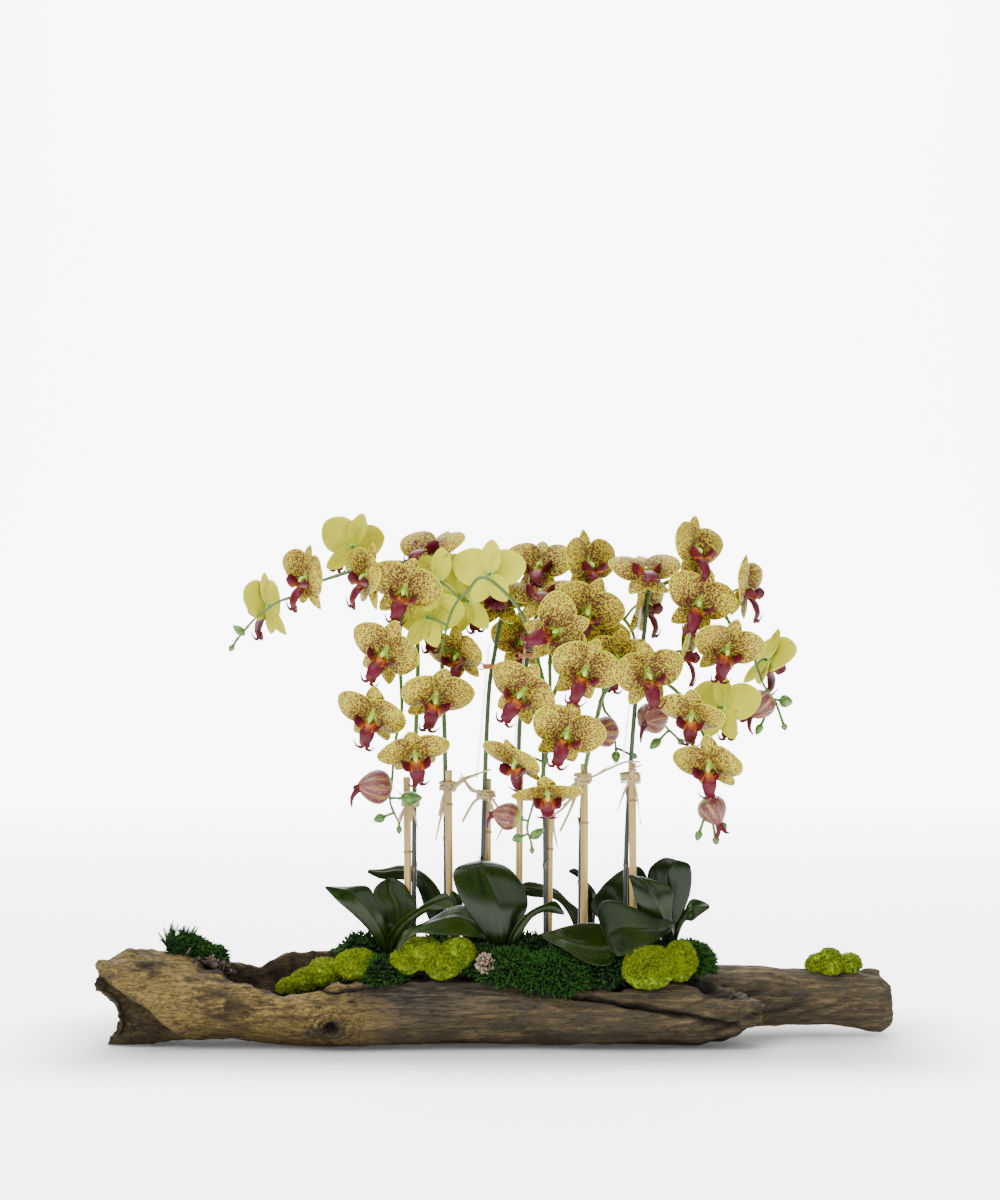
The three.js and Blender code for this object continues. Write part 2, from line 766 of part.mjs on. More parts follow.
const LEAF_STEPS = 10;

// Spare, if given, is added all round a leaf.
function leafSolid({ fold, edges }, spare = 0) {
  const edgeCurve = (k) =>
    new THREE.CatmullRomCurve3(edges.map((row) => new THREE.Vector3(row[k], row[k + 1], row[k + 2])));
  const left = edgeCurve(0);
  const right = edgeCurve(3);
  const middle = (t) => left.getPoint(t).add(right.getPoint(t)).multiplyScalar(0.5);
  const rings = [];
  for (let i = 0; i <= LEAF_STEPS; i++) {
    const t = i / LEAF_STEPS;
    const tangent = middle(Math.min(1, t + 0.02))
      .sub(middle(Math.max(0, t - 0.02)))
      .normalize();
    const across = right.getPoint(t).sub(left.getPoint(t));
    const half = across.length() / 2;
    across.normalize();
    const normal = new THREE.Vector3().crossVectors(tangent, across).normalize();
    const onward = i === 0 ? -spare : i === LEAF_STEPS ? spare : 0;
    const at = (u, lift) =>
      middle(t).addScaledVector(tangent, onward).addScaledVector(across, u).addScaledVector(normal, lift);
    const crease = -fold * half;
    const thick = LEAF_THICKNESS / 2 + 2 * spare;
    rings.push([
      at(-half - 4 * spare, 0),
      at(0, crease - thick),
      at(half + 4 * spare, 0),
      at(0, crease + thick),
    ]);
  }
  return solid(loft(rings));
}

// ---- potting mix and moss -----------------------------------------------------------------
// Potting mix fills the trough behind its open end, under a mound.
function soilSolid() {
  const fill = troughSolid(FIT_GAP, TROUGH_FLOOR + 46 + SOIL_RISE);
  const mound = new THREE.IcosahedronGeometry(1, 1);
  mound.scale(236 * LOG_LENGTH_SCALE, 60, 66);
  mound.translate(12 * LOG_LENGTH_SCALE, 0, TROUGH_FLOOR);
  return fill.intersect(solid(mound));
}

// Each tuft is a group of rounded lobes: x, y, z, and half sizes along X, Y and Z.
const MOSS = [
  { name: "sheet_moss_root_end", lobes: [[-366, 14, 104, 26, 22, 20], [-342, 8, 98, 24, 20, 16]] },
  {
    name: "cushion_moss_hollow_end",
    lobes: [[-226, -18, 76, 28, 24, 20], [-198, -28, 84, 26, 22, 18]],
  },
  { name: "cushion_moss_left", lobes: [[-160, -38, 98, 26, 24, 19]] },
  {
    name: "cushion_moss_front",
    lobes: [[-80, -50, 108, 30, 19, 20], [-36, -52, 106, 24, 19, 19]],
  },
  {
    name: "sheet_moss_front",
    lobes: [[20, -50, 92, 34, 28, 26], [74, -54, 86, 44, 28, 30]],
  },
  { name: "cushion_moss_back", lobes: [[68, 20, 104, 22, 18, 26], [92, 18, 108, 24, 18, 26]] },
  { name: "cushion_moss_ball", lobes: [[186, -56, 98, 31, 26, 26]] },
  { name: "cushion_moss_ball_small", lobes: [[222, -40, 102, 20, 22, 24]] },
  { name: "sheet_moss_right", lobes: [[238, -4, 96, 28, 28, 24]] },
  {
    name: "cushion_moss_limb",
    lobes: [[396, 46, 86, 15, 14, 12], [416, 48, 88, 16, 15, 15], [436, 46, 85, 14, 13, 11]],
  },
];
function mossSolid({ lobes }) {
  return lobes
    .map(([x, y, z, sx, sy, sz]) => {
      const lobe = new THREE.IcosahedronGeometry(1, 1);
      lobe.scale(sx, sy, sz);
      lobe.translate(x * (Math.abs(x) > 260 ? LOG_LENGTH_SCALE : 1), y, z);
      return solid(lobe);
    })
    .reduce((a, b) => a.add(b));
}
const CONE = {
  centre: new THREE.Vector3(-6, -64, 104),
  axis: new THREE.Vector3(0.3, -0.5, 1),
  size: 26,
};

// ---- assembly -----------------------------------------------------------------------------
// Pieces are placed in order, and each gives way to those before it. Each leaves behind the room
// it takes: its whole shape with the fitting gap round it, and itself, as thin edges hardly grow.
const arrangement = new THREE.Group();
const rooms = [];
function place(name, whole, material, room = grown(whole, FIT_GAP)) {
  const fitted = rooms
    .filter((room) => boxesMeet(whole, room))
    .reduce((left, room) => left.subtract(room), whole);
  // Merging near corners can pinch off a sliver, so a piece is its largest body after that.
  const kept = largest(solid(geometryOf(largest(fitted))));
  const mesh = new THREE.Mesh(geometryOf(kept), material);
  mesh.name = name;
  arrangement.add(mesh);
  rooms.push(room, kept);
}

place("driftwood_log", logSolid(), MATERIAL.wood);
STAKES.forEach((row) => place(`bamboo_stake_${row[0]}`, stakeSolid(row), MATERIAL.bamboo));
SPRAYS.forEach((spray, i) => place(`flower_stalk_${i + 1}`, stalkSolid(spray), MATERIAL.stalk));
RODS.forEach((row) => place(`clear_rod_${row[0]}`, rodSolid(row), MATERIAL.rod));
WIRE_TIES.forEach(([spray, centre, halfX, halfY]) => {
  place(`wire_tie_${spray}`, band(centre, halfX, halfY, 7, 1.6), MATERIAL.wire);
});
RAFFIA_TIES.forEach(([spray, centre, halfX, halfY]) => {
  place(`raffia_tie_${spray}`, band(centre, halfX, halfY, 16, 1.8), MATERIAL.raffia);
});
SPRAYS.forEach((spray, i) => place(`bloom_spray_${i + 1}`, spraySolid(spray), MATERIAL.bloom));
LEAVES.forEach((row, i) => {
  place(`leaf_${i + 1}`, leafSolid(row), MATERIAL.leaf, leafSolid(row, FIT_GAP));
});
place("pine_cone", egg(CONE.centre, CONE.axis, CONE.size, CONE.size), MATERIAL.cone);
for (const tuft of MOSS) {
  const material = tuft.name.startsWith("sheet") ? MATERIAL.sheetMoss : MATERIAL.cushionMoss;
  place(tuft.name, mossSolid(tuft), material);
}
place("potting_mix", soilSolid(), MATERIAL.soil);

// The origin is under the middle of the whole arrangement, on the ground.
const box = new THREE.Box3().setFromObject(arrangement);
const middle = box.getCenter(new THREE.Vector3());
arrangement.position.set(-middle.x, -middle.y, -box.min.z);

export default arrangement;
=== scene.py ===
"""Moth orchids growing from a hollowed driftwood log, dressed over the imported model.

Tables are in millimetres in the part's own frame, and meshes are made in metres.
"""

import logging
import math
from dataclasses import dataclass, field
from enum import Enum

import bmesh
import bpy
import numpy as np
from mathutils import Matrix, Vector


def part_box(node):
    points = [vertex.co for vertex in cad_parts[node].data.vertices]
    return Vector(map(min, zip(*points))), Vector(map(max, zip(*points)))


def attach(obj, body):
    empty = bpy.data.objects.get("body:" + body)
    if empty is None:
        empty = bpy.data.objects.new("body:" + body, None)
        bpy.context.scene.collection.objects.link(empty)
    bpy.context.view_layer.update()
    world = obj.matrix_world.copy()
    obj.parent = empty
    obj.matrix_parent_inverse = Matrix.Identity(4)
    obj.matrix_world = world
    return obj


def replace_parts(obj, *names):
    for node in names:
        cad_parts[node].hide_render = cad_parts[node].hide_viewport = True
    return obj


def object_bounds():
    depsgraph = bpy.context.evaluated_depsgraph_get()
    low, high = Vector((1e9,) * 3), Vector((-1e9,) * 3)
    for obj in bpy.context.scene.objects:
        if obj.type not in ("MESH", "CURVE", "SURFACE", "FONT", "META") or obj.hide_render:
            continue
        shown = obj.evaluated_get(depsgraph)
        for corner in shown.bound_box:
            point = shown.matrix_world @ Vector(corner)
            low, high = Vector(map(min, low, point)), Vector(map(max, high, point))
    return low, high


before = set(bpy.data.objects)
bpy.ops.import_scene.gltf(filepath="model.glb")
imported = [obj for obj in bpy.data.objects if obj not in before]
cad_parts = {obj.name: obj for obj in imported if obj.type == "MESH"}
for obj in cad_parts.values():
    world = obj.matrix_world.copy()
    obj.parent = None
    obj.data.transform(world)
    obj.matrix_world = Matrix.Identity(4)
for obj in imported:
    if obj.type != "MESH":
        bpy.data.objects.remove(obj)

CAD_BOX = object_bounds()
MM = 0.001
FIRST_STAKE = (-0.102, 0.010)  # where the tables put the middle of the first bamboo stake
GOLDEN_TURN = 2.399963  # the turn in radians from one scale of a cone to the next
LOG = logging.getLogger("orchid_log")
Colour = tuple[float, float, float, float]
Cell = tuple[float, float, float]


def _shift() -> np.ndarray:
    """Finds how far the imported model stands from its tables, from its first bamboo stake.

    Returns:
        The shift in metres along each axis.
    """
    low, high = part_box("bamboo_stake_1")
    middle = (low + high) / 2
    return np.array((middle.x - FIRST_STAKE[0], middle.y - FIRST_STAKE[1], 0.0))


SHIFT = _shift()


def placed(points: np.ndarray) -> np.ndarray:
    """Turns table points in millimetres into metres in the part's frame."""
    return np.asarray(points, dtype=float) * MM + SHIFT


def rgb(red: float, green: float, blue: float) -> Colour:
    """Gives an opaque colour."""
    return (red, green, blue, 1.0)


# ---- shading ---------------------------------------------------------------------------------


class Signal:
    """A node's output, with Python's arithmetic for numbers."""

    def __init__(self, shader: "Shader", socket: bpy.types.NodeSocket) -> None:
        """Keeps the output socket and the shader that it belongs to."""
        self.shader = shader
        self.socket = socket

    def _math(self, operation: str, first: "Signal | float", second: "Signal | float") -> "Signal":
        """Adds one Math node.

        Args:
            operation: the Math node's operation.
            first: its first value.
            second: its second value.

        Returns:
            The node's output.
        """
        settings = {"operation": operation}
        return self.shader.node("ShaderNodeMath", settings, {0: first, 1: second})

    def __add__(self, other: "Signal | float") -> "Signal":
        """Adds."""
        return self._math("ADD", self, other)

    def __sub__(self, other: "Signal | float") -> "Signal":
        """Takes away."""
        return self._math("SUBTRACT", self, other)

    def __rsub__(self, other: "Signal | float") -> "Signal":
        """Takes this from a number."""
        return self._math("SUBTRACT", other, self)

    def __mul__(self, other: "Signal | float") -> "Signal":
        """Multiplies."""
        return self._math("MULTIPLY", self, other)

    __radd__ = __add__
    __rmul__ = __mul__


class Shader:
    """One material and the nodes that feed its surface."""

    def __init__(self, name: str) -> None:
        """Starts a material with a plain surface.

        Args:
            name: the material's name.
        """
        self.material = bpy.data.materials.new(name)
        self.material.use_nodes = True
        self.tree = self.material.node_tree
        self.surface = self.tree.nodes["Principled BSDF"]

    def node(
        self,
        kind: str,
        settings: dict[str, object] | None = None,
        inputs: dict[int | str, object] | None = None,
        output: int | str = 0,
    ) -> Signal:
        """Adds any node.

        Args:
            kind: the node's type.
            settings: its settings; "stops" holds a ramp's positions and colours.
            inputs: values or links for its sockets.
            output: which output to give back.

        Returns:
            That output.
        """
        made = self.tree.nodes.new(kind)
        for key, value in (settings or {}).items():
            if key == "stops":
                self._set_stops(made.color_ramp, value)
            else:
                setattr(made, key, value)
        for key, value in (inputs or {}).items():
            self._feed(made.inputs[key], value)
        return Signal(self, made.outputs[output])

    def _feed(self, socket: bpy.types.NodeSocket, value: object) -> None:
        """Links a signal to a socket, or sets the socket's value.

        Args:
            socket: the socket to feed.
            value: a signal, or a plain value.
        """
        if isinstance(value, Signal):
            self.tree.links.new(value.socket, socket)
        else:
            socket.default_value = value

    @staticmethod
    def _set_stops(ramp: bpy.types.ColorRamp, stops: list[tuple[float, Colour]]) -> None:
        """Fills a colour ramp.

        Args:
            ramp: the ramp.
            stops: its positions and colours.
        """
        while len(ramp.elements) < len(stops):
            ramp.elements.new(1.0)
        for element, (position, colour) in zip(ramp.elements, stops):
            element.position = position
            element.color = colour

    def mark(self, name: str) -> Signal:
        """Reads a number that the mesh carries at its points."""
        return self.node("ShaderNodeAttribute", {"attribute_name": name}, output="Fac")

    def place(self, name: str) -> Signal:
        """Reads a vector that the mesh carries at its points."""
        return self.node("ShaderNodeAttribute", {"attribute_name": name}, output="Vector")

    def here(self) -> Signal:
        """Gives the place on the object, in metres."""
        return self.node("ShaderNodeTexCoord", output="Object")

    def stretched(self, vector: Signal, scale: tuple[float, float, float]) -> Signal:
        """Scales a place along each axis."""
        return self.node("ShaderNodeMapping", inputs={"Vector": vector, "Scale": scale})

    def noise(self, vector: Signal, scale: float, detail: float = 4.0, warp: float = 0.0) -> Signal:
        """Gives cloudy noise."""
        inputs = {"Vector": vector, "Scale": scale, "Detail": detail, "Distortion": warp}
        return self.node("ShaderNodeTexNoise", None, inputs, "Fac")

    def cells(self, vector: Signal, scale: float) -> Signal:
        """Gives the distance to the nearest of scattered points."""
        inputs = {"Vector": vector, "Scale": scale}
        return self.node("ShaderNodeTexVoronoi", None, inputs, "Distance")

    def fade(self, value: Signal, low: float | Signal, high: float | Signal) -> Signal:
        """Goes smoothly from 0 at low to 1 at high."""
        inputs = {"Value": value, "From Min": low, "From Max": high}
        return self.node("ShaderNodeMapRange", {"interpolation_type": "SMOOTHSTEP"}, inputs)

    def ramp(self, value: Signal, stops: list[tuple[float, Colour]]) -> Signal:
        """Gives a colour for each value."""
        return self.node("ShaderNodeValToRGB", {"stops": stops}, {"Fac": value}, "Color")

    def mix(self, share: Signal | float, one: Signal | Colour, other: Signal | Colour) -> Signal:
        """Mixes two colours."""
        inputs = {0: share, 6: one, 7: other}
        return self.node("ShaderNodeMix", {"data_type": "RGBA"}, inputs, 2)

    def bump(self, height: Signal, distance: float, strength: float = 1.0) -> Signal:
        """Turns a height into a surface direction."""
        inputs = {"Height": height, "Distance": distance, "Strength": strength}
        return self.node("ShaderNodeBump", None, inputs, "Normal")

    def finish(self, **sockets: object) -> bpy.types.Material:
        """Feeds the surface's sockets, named with underscores for spaces.

        Args:
            sockets: a value or a signal for each socket.

        Returns:
            The finished material.
        """
        for key, value in sockets.items():
            self._feed(self.surface.inputs[key.replace("_", " ")], value)
        return self.material


@dataclass(frozen=True)
class Driftwood:
    """Weathered wood: tan at the root end, darker and greyer along the trunk."""

    tan: Colour = rgb(0.088, 0.057, 0.015)
    pale: Colour = rgb(0.190, 0.132, 0.036)
    brown: Colour = rgb(0.054, 0.039, 0.018)
    grey: Colour = rgb(0.030, 0.025, 0.016)
    dark: Colour = rgb(0.005, 0.003, 0.0018)
    sawn: Colour = rgb(0.205, 0.142, 0.058)

    def make(self) -> bpy.types.Material:
        """Builds the material.

        Returns:
            The material.
        """
        s = Shader("driftwood")
        here = s.here()
        grain = s.noise(s.stretched(here, (7, 70, 70)), 3.2, 8, 0.6)
        fine = s.noise(s.stretched(here, (22, 190, 190)), 4, 6, 0.3)
        patch = s.noise(s.stretched(here, (7, 16, 16)), 1.3, 5, 1.4)
        blot = s.noise(s.stretched(here, (14, 40, 40)), 1.0, 4, 0.8)
        left = s.mark("root_end")
        worn = s.ramp(grain, [(0.32, self.tan), (0.5, self.pale), (0.66, self.tan)])
        old = s.ramp(grain, [(0.3, self.grey), (0.52, self.brown), (0.7, rgb(0.118, 0.086, 0.038))])
        colour = s.mix(left, old, worn)
        colour = s.mix(s.fade(patch, 0.56, 0.68) * 0.75, colour, self.grey)
        colour = s.mix(s.fade(blot, 0.56, 0.72) * 0.6, colour, self.dark)
        flow = s.noise(s.stretched(here, (9, 34, 34)), 1.6, 6, 2.2)
        colour = s.mix(s.fade(flow, 0.50, 0.66) * 0.72 * left, colour, rgb(0.036, 0.021, 0.008))
        colour = s.mix(s.fade(blot, 0.30, 0.42) * 0.5 + 0.5, rgb(0.17, 0.115, 0.050), colour)
        bark = s.mix(s.fade(grain, 0.35, 0.65), self.dark, rgb(0.046, 0.036, 0.024))
        colour = s.mix(s.mark("bark") * 0.92, colour, bark)
        net = s.noise(s.stretched(here, (70, 130, 130)), 1.0, 6, 1.6)
        cracks = s.fade(net, 0.53, 0.50) * s.fade(net, 0.47, 0.50)
        colour = s.mix(cracks * left * 0.4, colour, self.dark)
        lines = s.fade(fine, 0.55, 0.66) * 0.75
        colour = s.mix(lines, colour, self.dark)
        # Painted shade: the inside of the trough is darkened to deep brown, less at the top of its
        # back wall, where light falls.
        colour = s.mix(s.mark("hollow") * 0.85, colour, rgb(0.024, 0.012, 0.006))
        rings = s.fade(s.noise(s.stretched(here, (20, 60, 60)), 2.0, 3, 1.0), 0.40, 0.62)
        colour = s.mix(s.mark("cut") * 0.8, colour, s.mix(rings, self.brown, self.sawn))
        # The shade mark is mostly painted shade, in cracks, the knot's hole, splinter gaps, the
        # trough's ripples, grain hollows and under the root ridge, and it also carries the stains
        # and the knot's ring lines.
        colour = s.mix(s.mark("shade"), colour, self.dark)
        height = grain * 0.6 + fine * 0.5 - cracks * left * 0.4
        return s.finish(
            Base_Color=colour,
            Roughness=0.82,
            Specular_IOR_Level=0.25,
            Normal=s.bump(height, 0.0042, 1.0),
        )


@dataclass(frozen=True)
class LeafSkin:
    """Thick dark leaf with a soft shine and faint lengthwise veins."""

    deep: Colour = rgb(0.0022, 0.0065, 0.0004)
    light: Colour = rgb(0.0085, 0.0200, 0.0007)
    under: Colour = rgb(0.0065, 0.0125, 0.0014)

    def make(self, back: bool) -> bpy.types.Material:
        """Builds the material of a leaf's upper side or its back.

        Args:
            back: whether this is the paler underside.

        Returns:
            The material.
        """
        s = Shader("leaf_back" if back else "leaf_face")
        where = s.place("lay")
        veins = s.noise(s.stretched(where, (420, 9, 1)), 1.0, 3)
        cloud = s.noise(s.stretched(where, (40, 22, 1)), 1.0, 4, 0.8)
        tint = s.mark("tint")
        start = self.under if back else self.deep
        colour = s.mix(s.fade(cloud + tint * 0.3, 0.35, 0.85), start, self.light)
        colour = s.mix(s.mark("midrib") * 0.25, colour, rgb(0.016, 0.032, 0.004))
        colour = s.mix(s.mark("rim") * 0.35, colour, rgb(0.022, 0.036, 0.008))
        height = veins * 0.6 + cloud * 0.4
        return s.finish(
            Base_Color=colour,
            Roughness=(cloud * 0.14 + (0.30 if back else 0.16)),
            Specular_IOR_Level=0.19,
            Normal=s.bump(height, 0.0008, 0.5),
        )


@dataclass(frozen=True)
class StemSkin:
    """Stem that is near-black green low down and fresh green above."""

    low: Colour = rgb(0.0035, 0.0085, 0.006)
    high: Colour = rgb(0.042, 0.105, 0.007)

    def make(self, name: str) -> bpy.types.Material:
        """Builds the material; the mesh says how fresh each point is.

        Args:
            name: the material's name.

        Returns:
            The material.
        """
        s = Shader(name)
        here = s.here()
        streak = s.noise(s.stretched(here, (260, 260, 22)), 1.0, 4)
        colour = s.mix(s.mark("fresh"), self.low, self.high)
        streaks = s.fade(streak, 0.45, 0.75) * s.mark("fresh") * 0.4
        colour = s.mix(streaks, colour, rgb(0.09, 0.11, 0.03))
        colour = s.mix(s.mark("scar") * 0.8, colour, rgb(0.16, 0.11, 0.06))
        return s.finish(
            Base_Color=colour, Roughness=0.38, Normal=s.bump(streak, 0.0006, 0.6)
        )


class PetalSide(Enum):
    """Which side of a petal a finish is for."""

    FACE = "petal_face"
    BACK = "petal_back"


@dataclass(frozen=True)
class PetalSkin:
    """Yellow-green petals, speckled burgundy in rows towards the throat, with a pale clear rim."""

    throat: Colour = rgb(0.215, 0.240, 0.001)
    middle: Colour = rgb(0.310, 0.315, 0.003)
    outer: Colour = rgb(0.420, 0.395, 0.014)
    rim: Colour = rgb(0.54, 0.57, 0.014)
    spot: Colour = rgb(0.045, 0.0010, 0.006)
    haze: Colour = rgb(0.14, 0.012, 0.030)
    flush: Colour = rgb(0.25, 0.085, 0.010)
    back: Colour = rgb(0.54, 0.54, 0.030)

    def make(self, side: PetalSide) -> bpy.types.Material:
        """Builds the material of one side.

        Args:
            side: the speckled face or the plainer back.

        Returns:
            The material.
        """
        s = Shader(side.value)
        lay = s.place("lay")
        along = s.mark("along")
        edge = s.mark("rim")
        cloud = s.noise(lay, 0.09, 3, 0.4)
        vein = s.noise(s.stretched(lay, (0.75, 0.05, 1)), 1.0, 2, 0.3)
        colour = s.ramp(
            along + cloud * 0.25 - 0.12,
            [(0.0, self.throat), (0.34, self.middle), (0.75, self.outer), (1.0, self.middle)],
        )
        if side is PetalSide.BACK:
            colour = s.mix(0.72, colour, self.back)
            colour = s.mix(s.fade(vein, 0.52, 0.7) * 0.22, colour, self.haze)
            colour = s.mix(s.fade(along, 0.25, 0.0) * 0.6, colour, rgb(0.32, 0.42, 0.03))
        else:
            big = s.cells(s.stretched(lay, (1, 0.82, 1)), 0.52)
            small = s.cells(s.stretched(lay, (1.0, 0.66, 1)), 1.05)
            reach = s.fade(along, 0.95, 0.15)
            dots = s.fade(big, reach * 0.18 + 0.50, reach * 0.18 + 0.36)
            dust = s.fade(small, 0.58, 0.34) * s.fade(edge, 1.0, 0.74)
            blush = s.fade(along, 0.62, 0.12) * s.fade(cloud, 0.30, 0.62)
            colour = s.mix(blush * 0.30, colour, self.flush)
            colour = s.mix(dust * 0.46, colour, self.haze)
            spot = s.mix(reach, rgb(0.13, 0.010, 0.022), self.spot)
            colour = s.mix(dots * s.fade(edge, 0.95, 0.72) * 0.92, colour, spot)
            colour = s.mix(s.fade(along, 0.10, 0.0), colour, rgb(0.34, 0.48, 0.04))
        colour = s.mix(s.fade(edge, 0.80, 0.93) * 0.92, colour, self.rim)
        return s.finish(
            Base_Color=colour,
            Roughness=0.55,
            Specular_IOR_Level=0.14,
            Subsurface_Weight=0.12,
            Subsurface_Radius=(0.004, 0.003, 0.001),
            Subsurface_Scale=0.5,
            Normal=s.bump(vein, 0.0010, 0.5),
        )


@dataclass(frozen=True)
class LipSkin:
    """Burgundy lip with an orange-yellow heart and a pinkish tip."""

    wine: Colour = rgb(0.065, 0.0010, 0.008)
    pink: Colour = rgb(0.155, 0.005, 0.020)
    gold: Colour = rgb(0.80, 0.24, 0.008)

    def make(self) -> bpy.types.Material:
        """Builds the material.

        Returns:
            The material.
        """
        s = Shader("lip")
        lay = s.place("lay")
        along = s.mark("along")
        cloud = s.noise(lay, 0.22, 3, 0.6)
        colour = s.mix(s.fade(cloud, 0.46, 0.70) * 0.5, self.wine, self.pink)
        colour = s.mix(s.mark("gold") * s.fade(cloud, 0.30, 0.55), colour, self.gold)
        colour = s.mix(s.fade(along, 0.7, 1.0) * 0.5, colour, rgb(0.085, 0.002, 0.010))
        return s.finish(
            Base_Color=colour,
            Roughness=0.42,
            Specular_IOR_Level=0.20,
            Normal=s.bump(cloud, 0.0008, 0.4),
        )


@dataclass(frozen=True)
class ColumnSkin:
    """Lime green of the small column above the lip."""

    lime: Colour = rgb(0.24, 0.44, 0.03)

    def make(self) -> bpy.types.Material:
        """Builds the material.

        Returns:
            The material.
        """
        s = Shader("column")
        cloud = s.noise(s.here(), 300, 3)
        colour = s.mix(s.fade(cloud, 0.35, 0.7), self.lime, rgb(0.46, 0.62, 0.12))
        return s.finish(Base_Color=colour, Roughness=0.35, Normal=s.bump(cloud, 0.0004, 0.5))


@dataclass(frozen=True)
class StripedBud:
    """Half-open bloom: mauve netting between cream ridges."""

    cream: Colour = rgb(0.40, 0.32, 0.035)
    mauve: Colour = rgb(0.095, 0.009, 0.022)

    def make(self) -> bpy.types.Material:
        """Builds the material.

        Returns:
            The material.
        """
        s = Shader("half_open_petal")
        lay = s.place("lay")
        net = s.cells(s.stretched(lay, (1, 0.55, 1)), 0.80)
        lines = s.noise(s.stretched(lay, (0.62, 0.035, 1)), 1.0, 3, 0.4)
        cloud = s.noise(lay, 0.1, 3)
        between = s.mix(s.fade(net, 0.95, 0.60), rgb(0.36, 0.22, 0.075), self.mauve)
        between = s.mix(s.fade(lines, 0.42, 0.54) * 0.7, between, self.mauve)
        colour = s.mix(s.mark("ridge") * s.fade(lines, 0.60, 0.42) * 0.55, between, self.cream)
        colour = s.mix(s.fade(s.mark("along"), 0.25, 0.0), colour, rgb(0.26, 0.34, 0.03))
        return s.finish(
            Base_Color=colour, Roughness=0.5, Normal=s.bump(cloud + net * 0.3, 0.0006, 0.5)
        )


@dataclass(frozen=True)
class GreenBud:
    """Small closed bud."""

    green: Colour = rgb(0.030, 0.090, 0.005)

    def make(self) -> bpy.types.Material:
        """Builds the material.

        Returns:
            The material.
        """
        s = Shader("green_bud")
        cloud = s.noise(s.here(), 160, 4, 0.5)
        colour = s.mix(s.fade(cloud, 0.4, 0.7), self.green, rgb(0.085, 0.19, 0.018))
        colour = s.mix(s.fade(s.mark("along"), 0.8, 1.0) * 0.5, colour, rgb(0.22, 0.22, 0.03))
        return s.finish(Base_Color=colour, Roughness=0.34, Normal=s.bump(cloud, 0.0005, 0.6))


@dataclass(frozen=True)
class BambooSkin:
    """Dry cane with lengthwise fibres and dark marks at its rings."""

    straw: Colour = rgb(0.35, 0.240, 0.062)
    pale: Colour = rgb(0.53, 0.395, 0.130)

    def make(self) -> bpy.types.Material:
        """Builds the material.

        Returns:
            The material.
        """
        s = Shader("bamboo")
        here = s.here()
        fibre = s.noise(s.stretched(here, (330, 330, 7)), 1.0, 5, 0.2)
        cloud = s.noise(s.stretched(here, (60, 60, 14)), 1.0, 4, 0.6)
        colour = s.ramp(fibre, [(0.3, rgb(0.30, 0.19, 0.07)), (0.5, self.straw), (0.7, self.pale)])
        colour = s.mix(s.fade(cloud, 0.60, 0.78) * 0.5, colour, rgb(0.30, 0.19, 0.09))
        colour = s.mix(s.mark("ring"), colour, rgb(0.10, 0.05, 0.022))
        return s.finish(
            Base_Color=colour, Roughness=0.5, Normal=s.bump(fibre, 0.0008, 0.6)
        )


@dataclass(frozen=True)
class RaffiaSkin:
    """Dry raffia strand."""

    pale: Colour = rgb(0.56, 0.44, 0.22)

    def make(self) -> bpy.types.Material:
        """Builds the material.

        Returns:
            The material.
        """
        s = Shader("raffia")
        lay = s.place("lay")
        fibre = s.noise(s.stretched(lay, (2600, 40, 1)), 1.0, 3)
        tint = s.mark("tint")
        colour = s.mix(s.fade(fibre, 0.35, 0.7), rgb(0.26, 0.18, 0.080), self.pale)
        colour = s.mix(tint * 0.5, colour, rgb(0.40, 0.34, 0.17))
        return s.finish(Base_Color=colour, Roughness=0.7, Normal=s.bump(fibre, 0.0005, 0.7))


@dataclass(frozen=True)
class WireSkin:
    """Copper-coloured coated wire."""

    copper: Colour = rgb(0.46, 0.17, 0.065)

    def make(self) -> bpy.types.Material:
        """Builds the material.

        Returns:
            The material.
        """
        s = Shader("tie_wire")
        cloud = s.noise(s.here(), 900, 3)
        colour = s.mix(s.fade(cloud, 0.35, 0.7), self.copper, rgb(0.24, 0.08, 0.03))
        return s.finish(
            Base_Color=colour, Roughness=cloud * 0.2 + 0.3, Metallic=0.25,
            Normal=s.bump(cloud, 0.0003, 0.4),
        )


@dataclass(frozen=True)
class ClearPlastic:
    """Clear support rod."""

    tint: Colour = rgb(0.86, 0.88, 0.88)

    def make(self) -> bpy.types.Material:
        """Builds the material.

        Returns:
            The material.
        """
        s = Shader("clear_plastic")
        cloud = s.noise(s.stretched(s.here(), (300, 300, 20)), 1.0, 3)
        colour = s.mix(s.fade(cloud, 0.4, 0.8) * 0.3, self.tint, rgb(0.70, 0.72, 0.73))
        return s.finish(
            Base_Color=colour, Roughness=0.12, Alpha=cloud * 0.25 + 0.18, IOR=1.46
        )


class MossKind(Enum):
    """The two mosses on the log."""

    CUSHION = "cushion_moss"
    SHEET = "sheet_moss"


@dataclass(frozen=True)
class MossSkin:
    """Moss whose tips are brighter than its depths: partly the moss's own colour and partly painted
    shade down among the sprigs.
    """

    deep: Colour
    middle: Colour
    tip: Colour

    def make(self, kind: MossKind) -> bpy.types.Material:
        """Builds the material for one kind of moss.

        Args:
            kind: which moss it is.

        Returns:
            The material.
        """
        s = Shader(kind.value)
        cushion = kind is MossKind.CUSHION
        cloud = s.noise(s.here(), 45 if cushion else 70, 5)
        grit = s.noise(s.here(), 330 if cushion else 520, 3)
        tall = s.mark("tip") + (grit - 0.5) * (1.5 if cushion else 0.3)
        # Partly painted shade: low points take the near-black deep colour, high points the bright
        # tip colour.
        colour = s.ramp(tall, [(0.0, self.deep), (0.5, self.middle), (1.0, self.tip)])
        colour = s.mix(s.fade(cloud, 0.5, 0.75) * 0.35, colour, self.tip)
        colour = s.mix(s.mark("tint") * (0.50 if cushion else 0.88), colour, self.deep)
        return s.finish(
            Base_Color=colour,
            Roughness=0.88,
            Specular_IOR_Level=0.2,
            Normal=s.bump(grit, 0.0015, 0.9),
        )


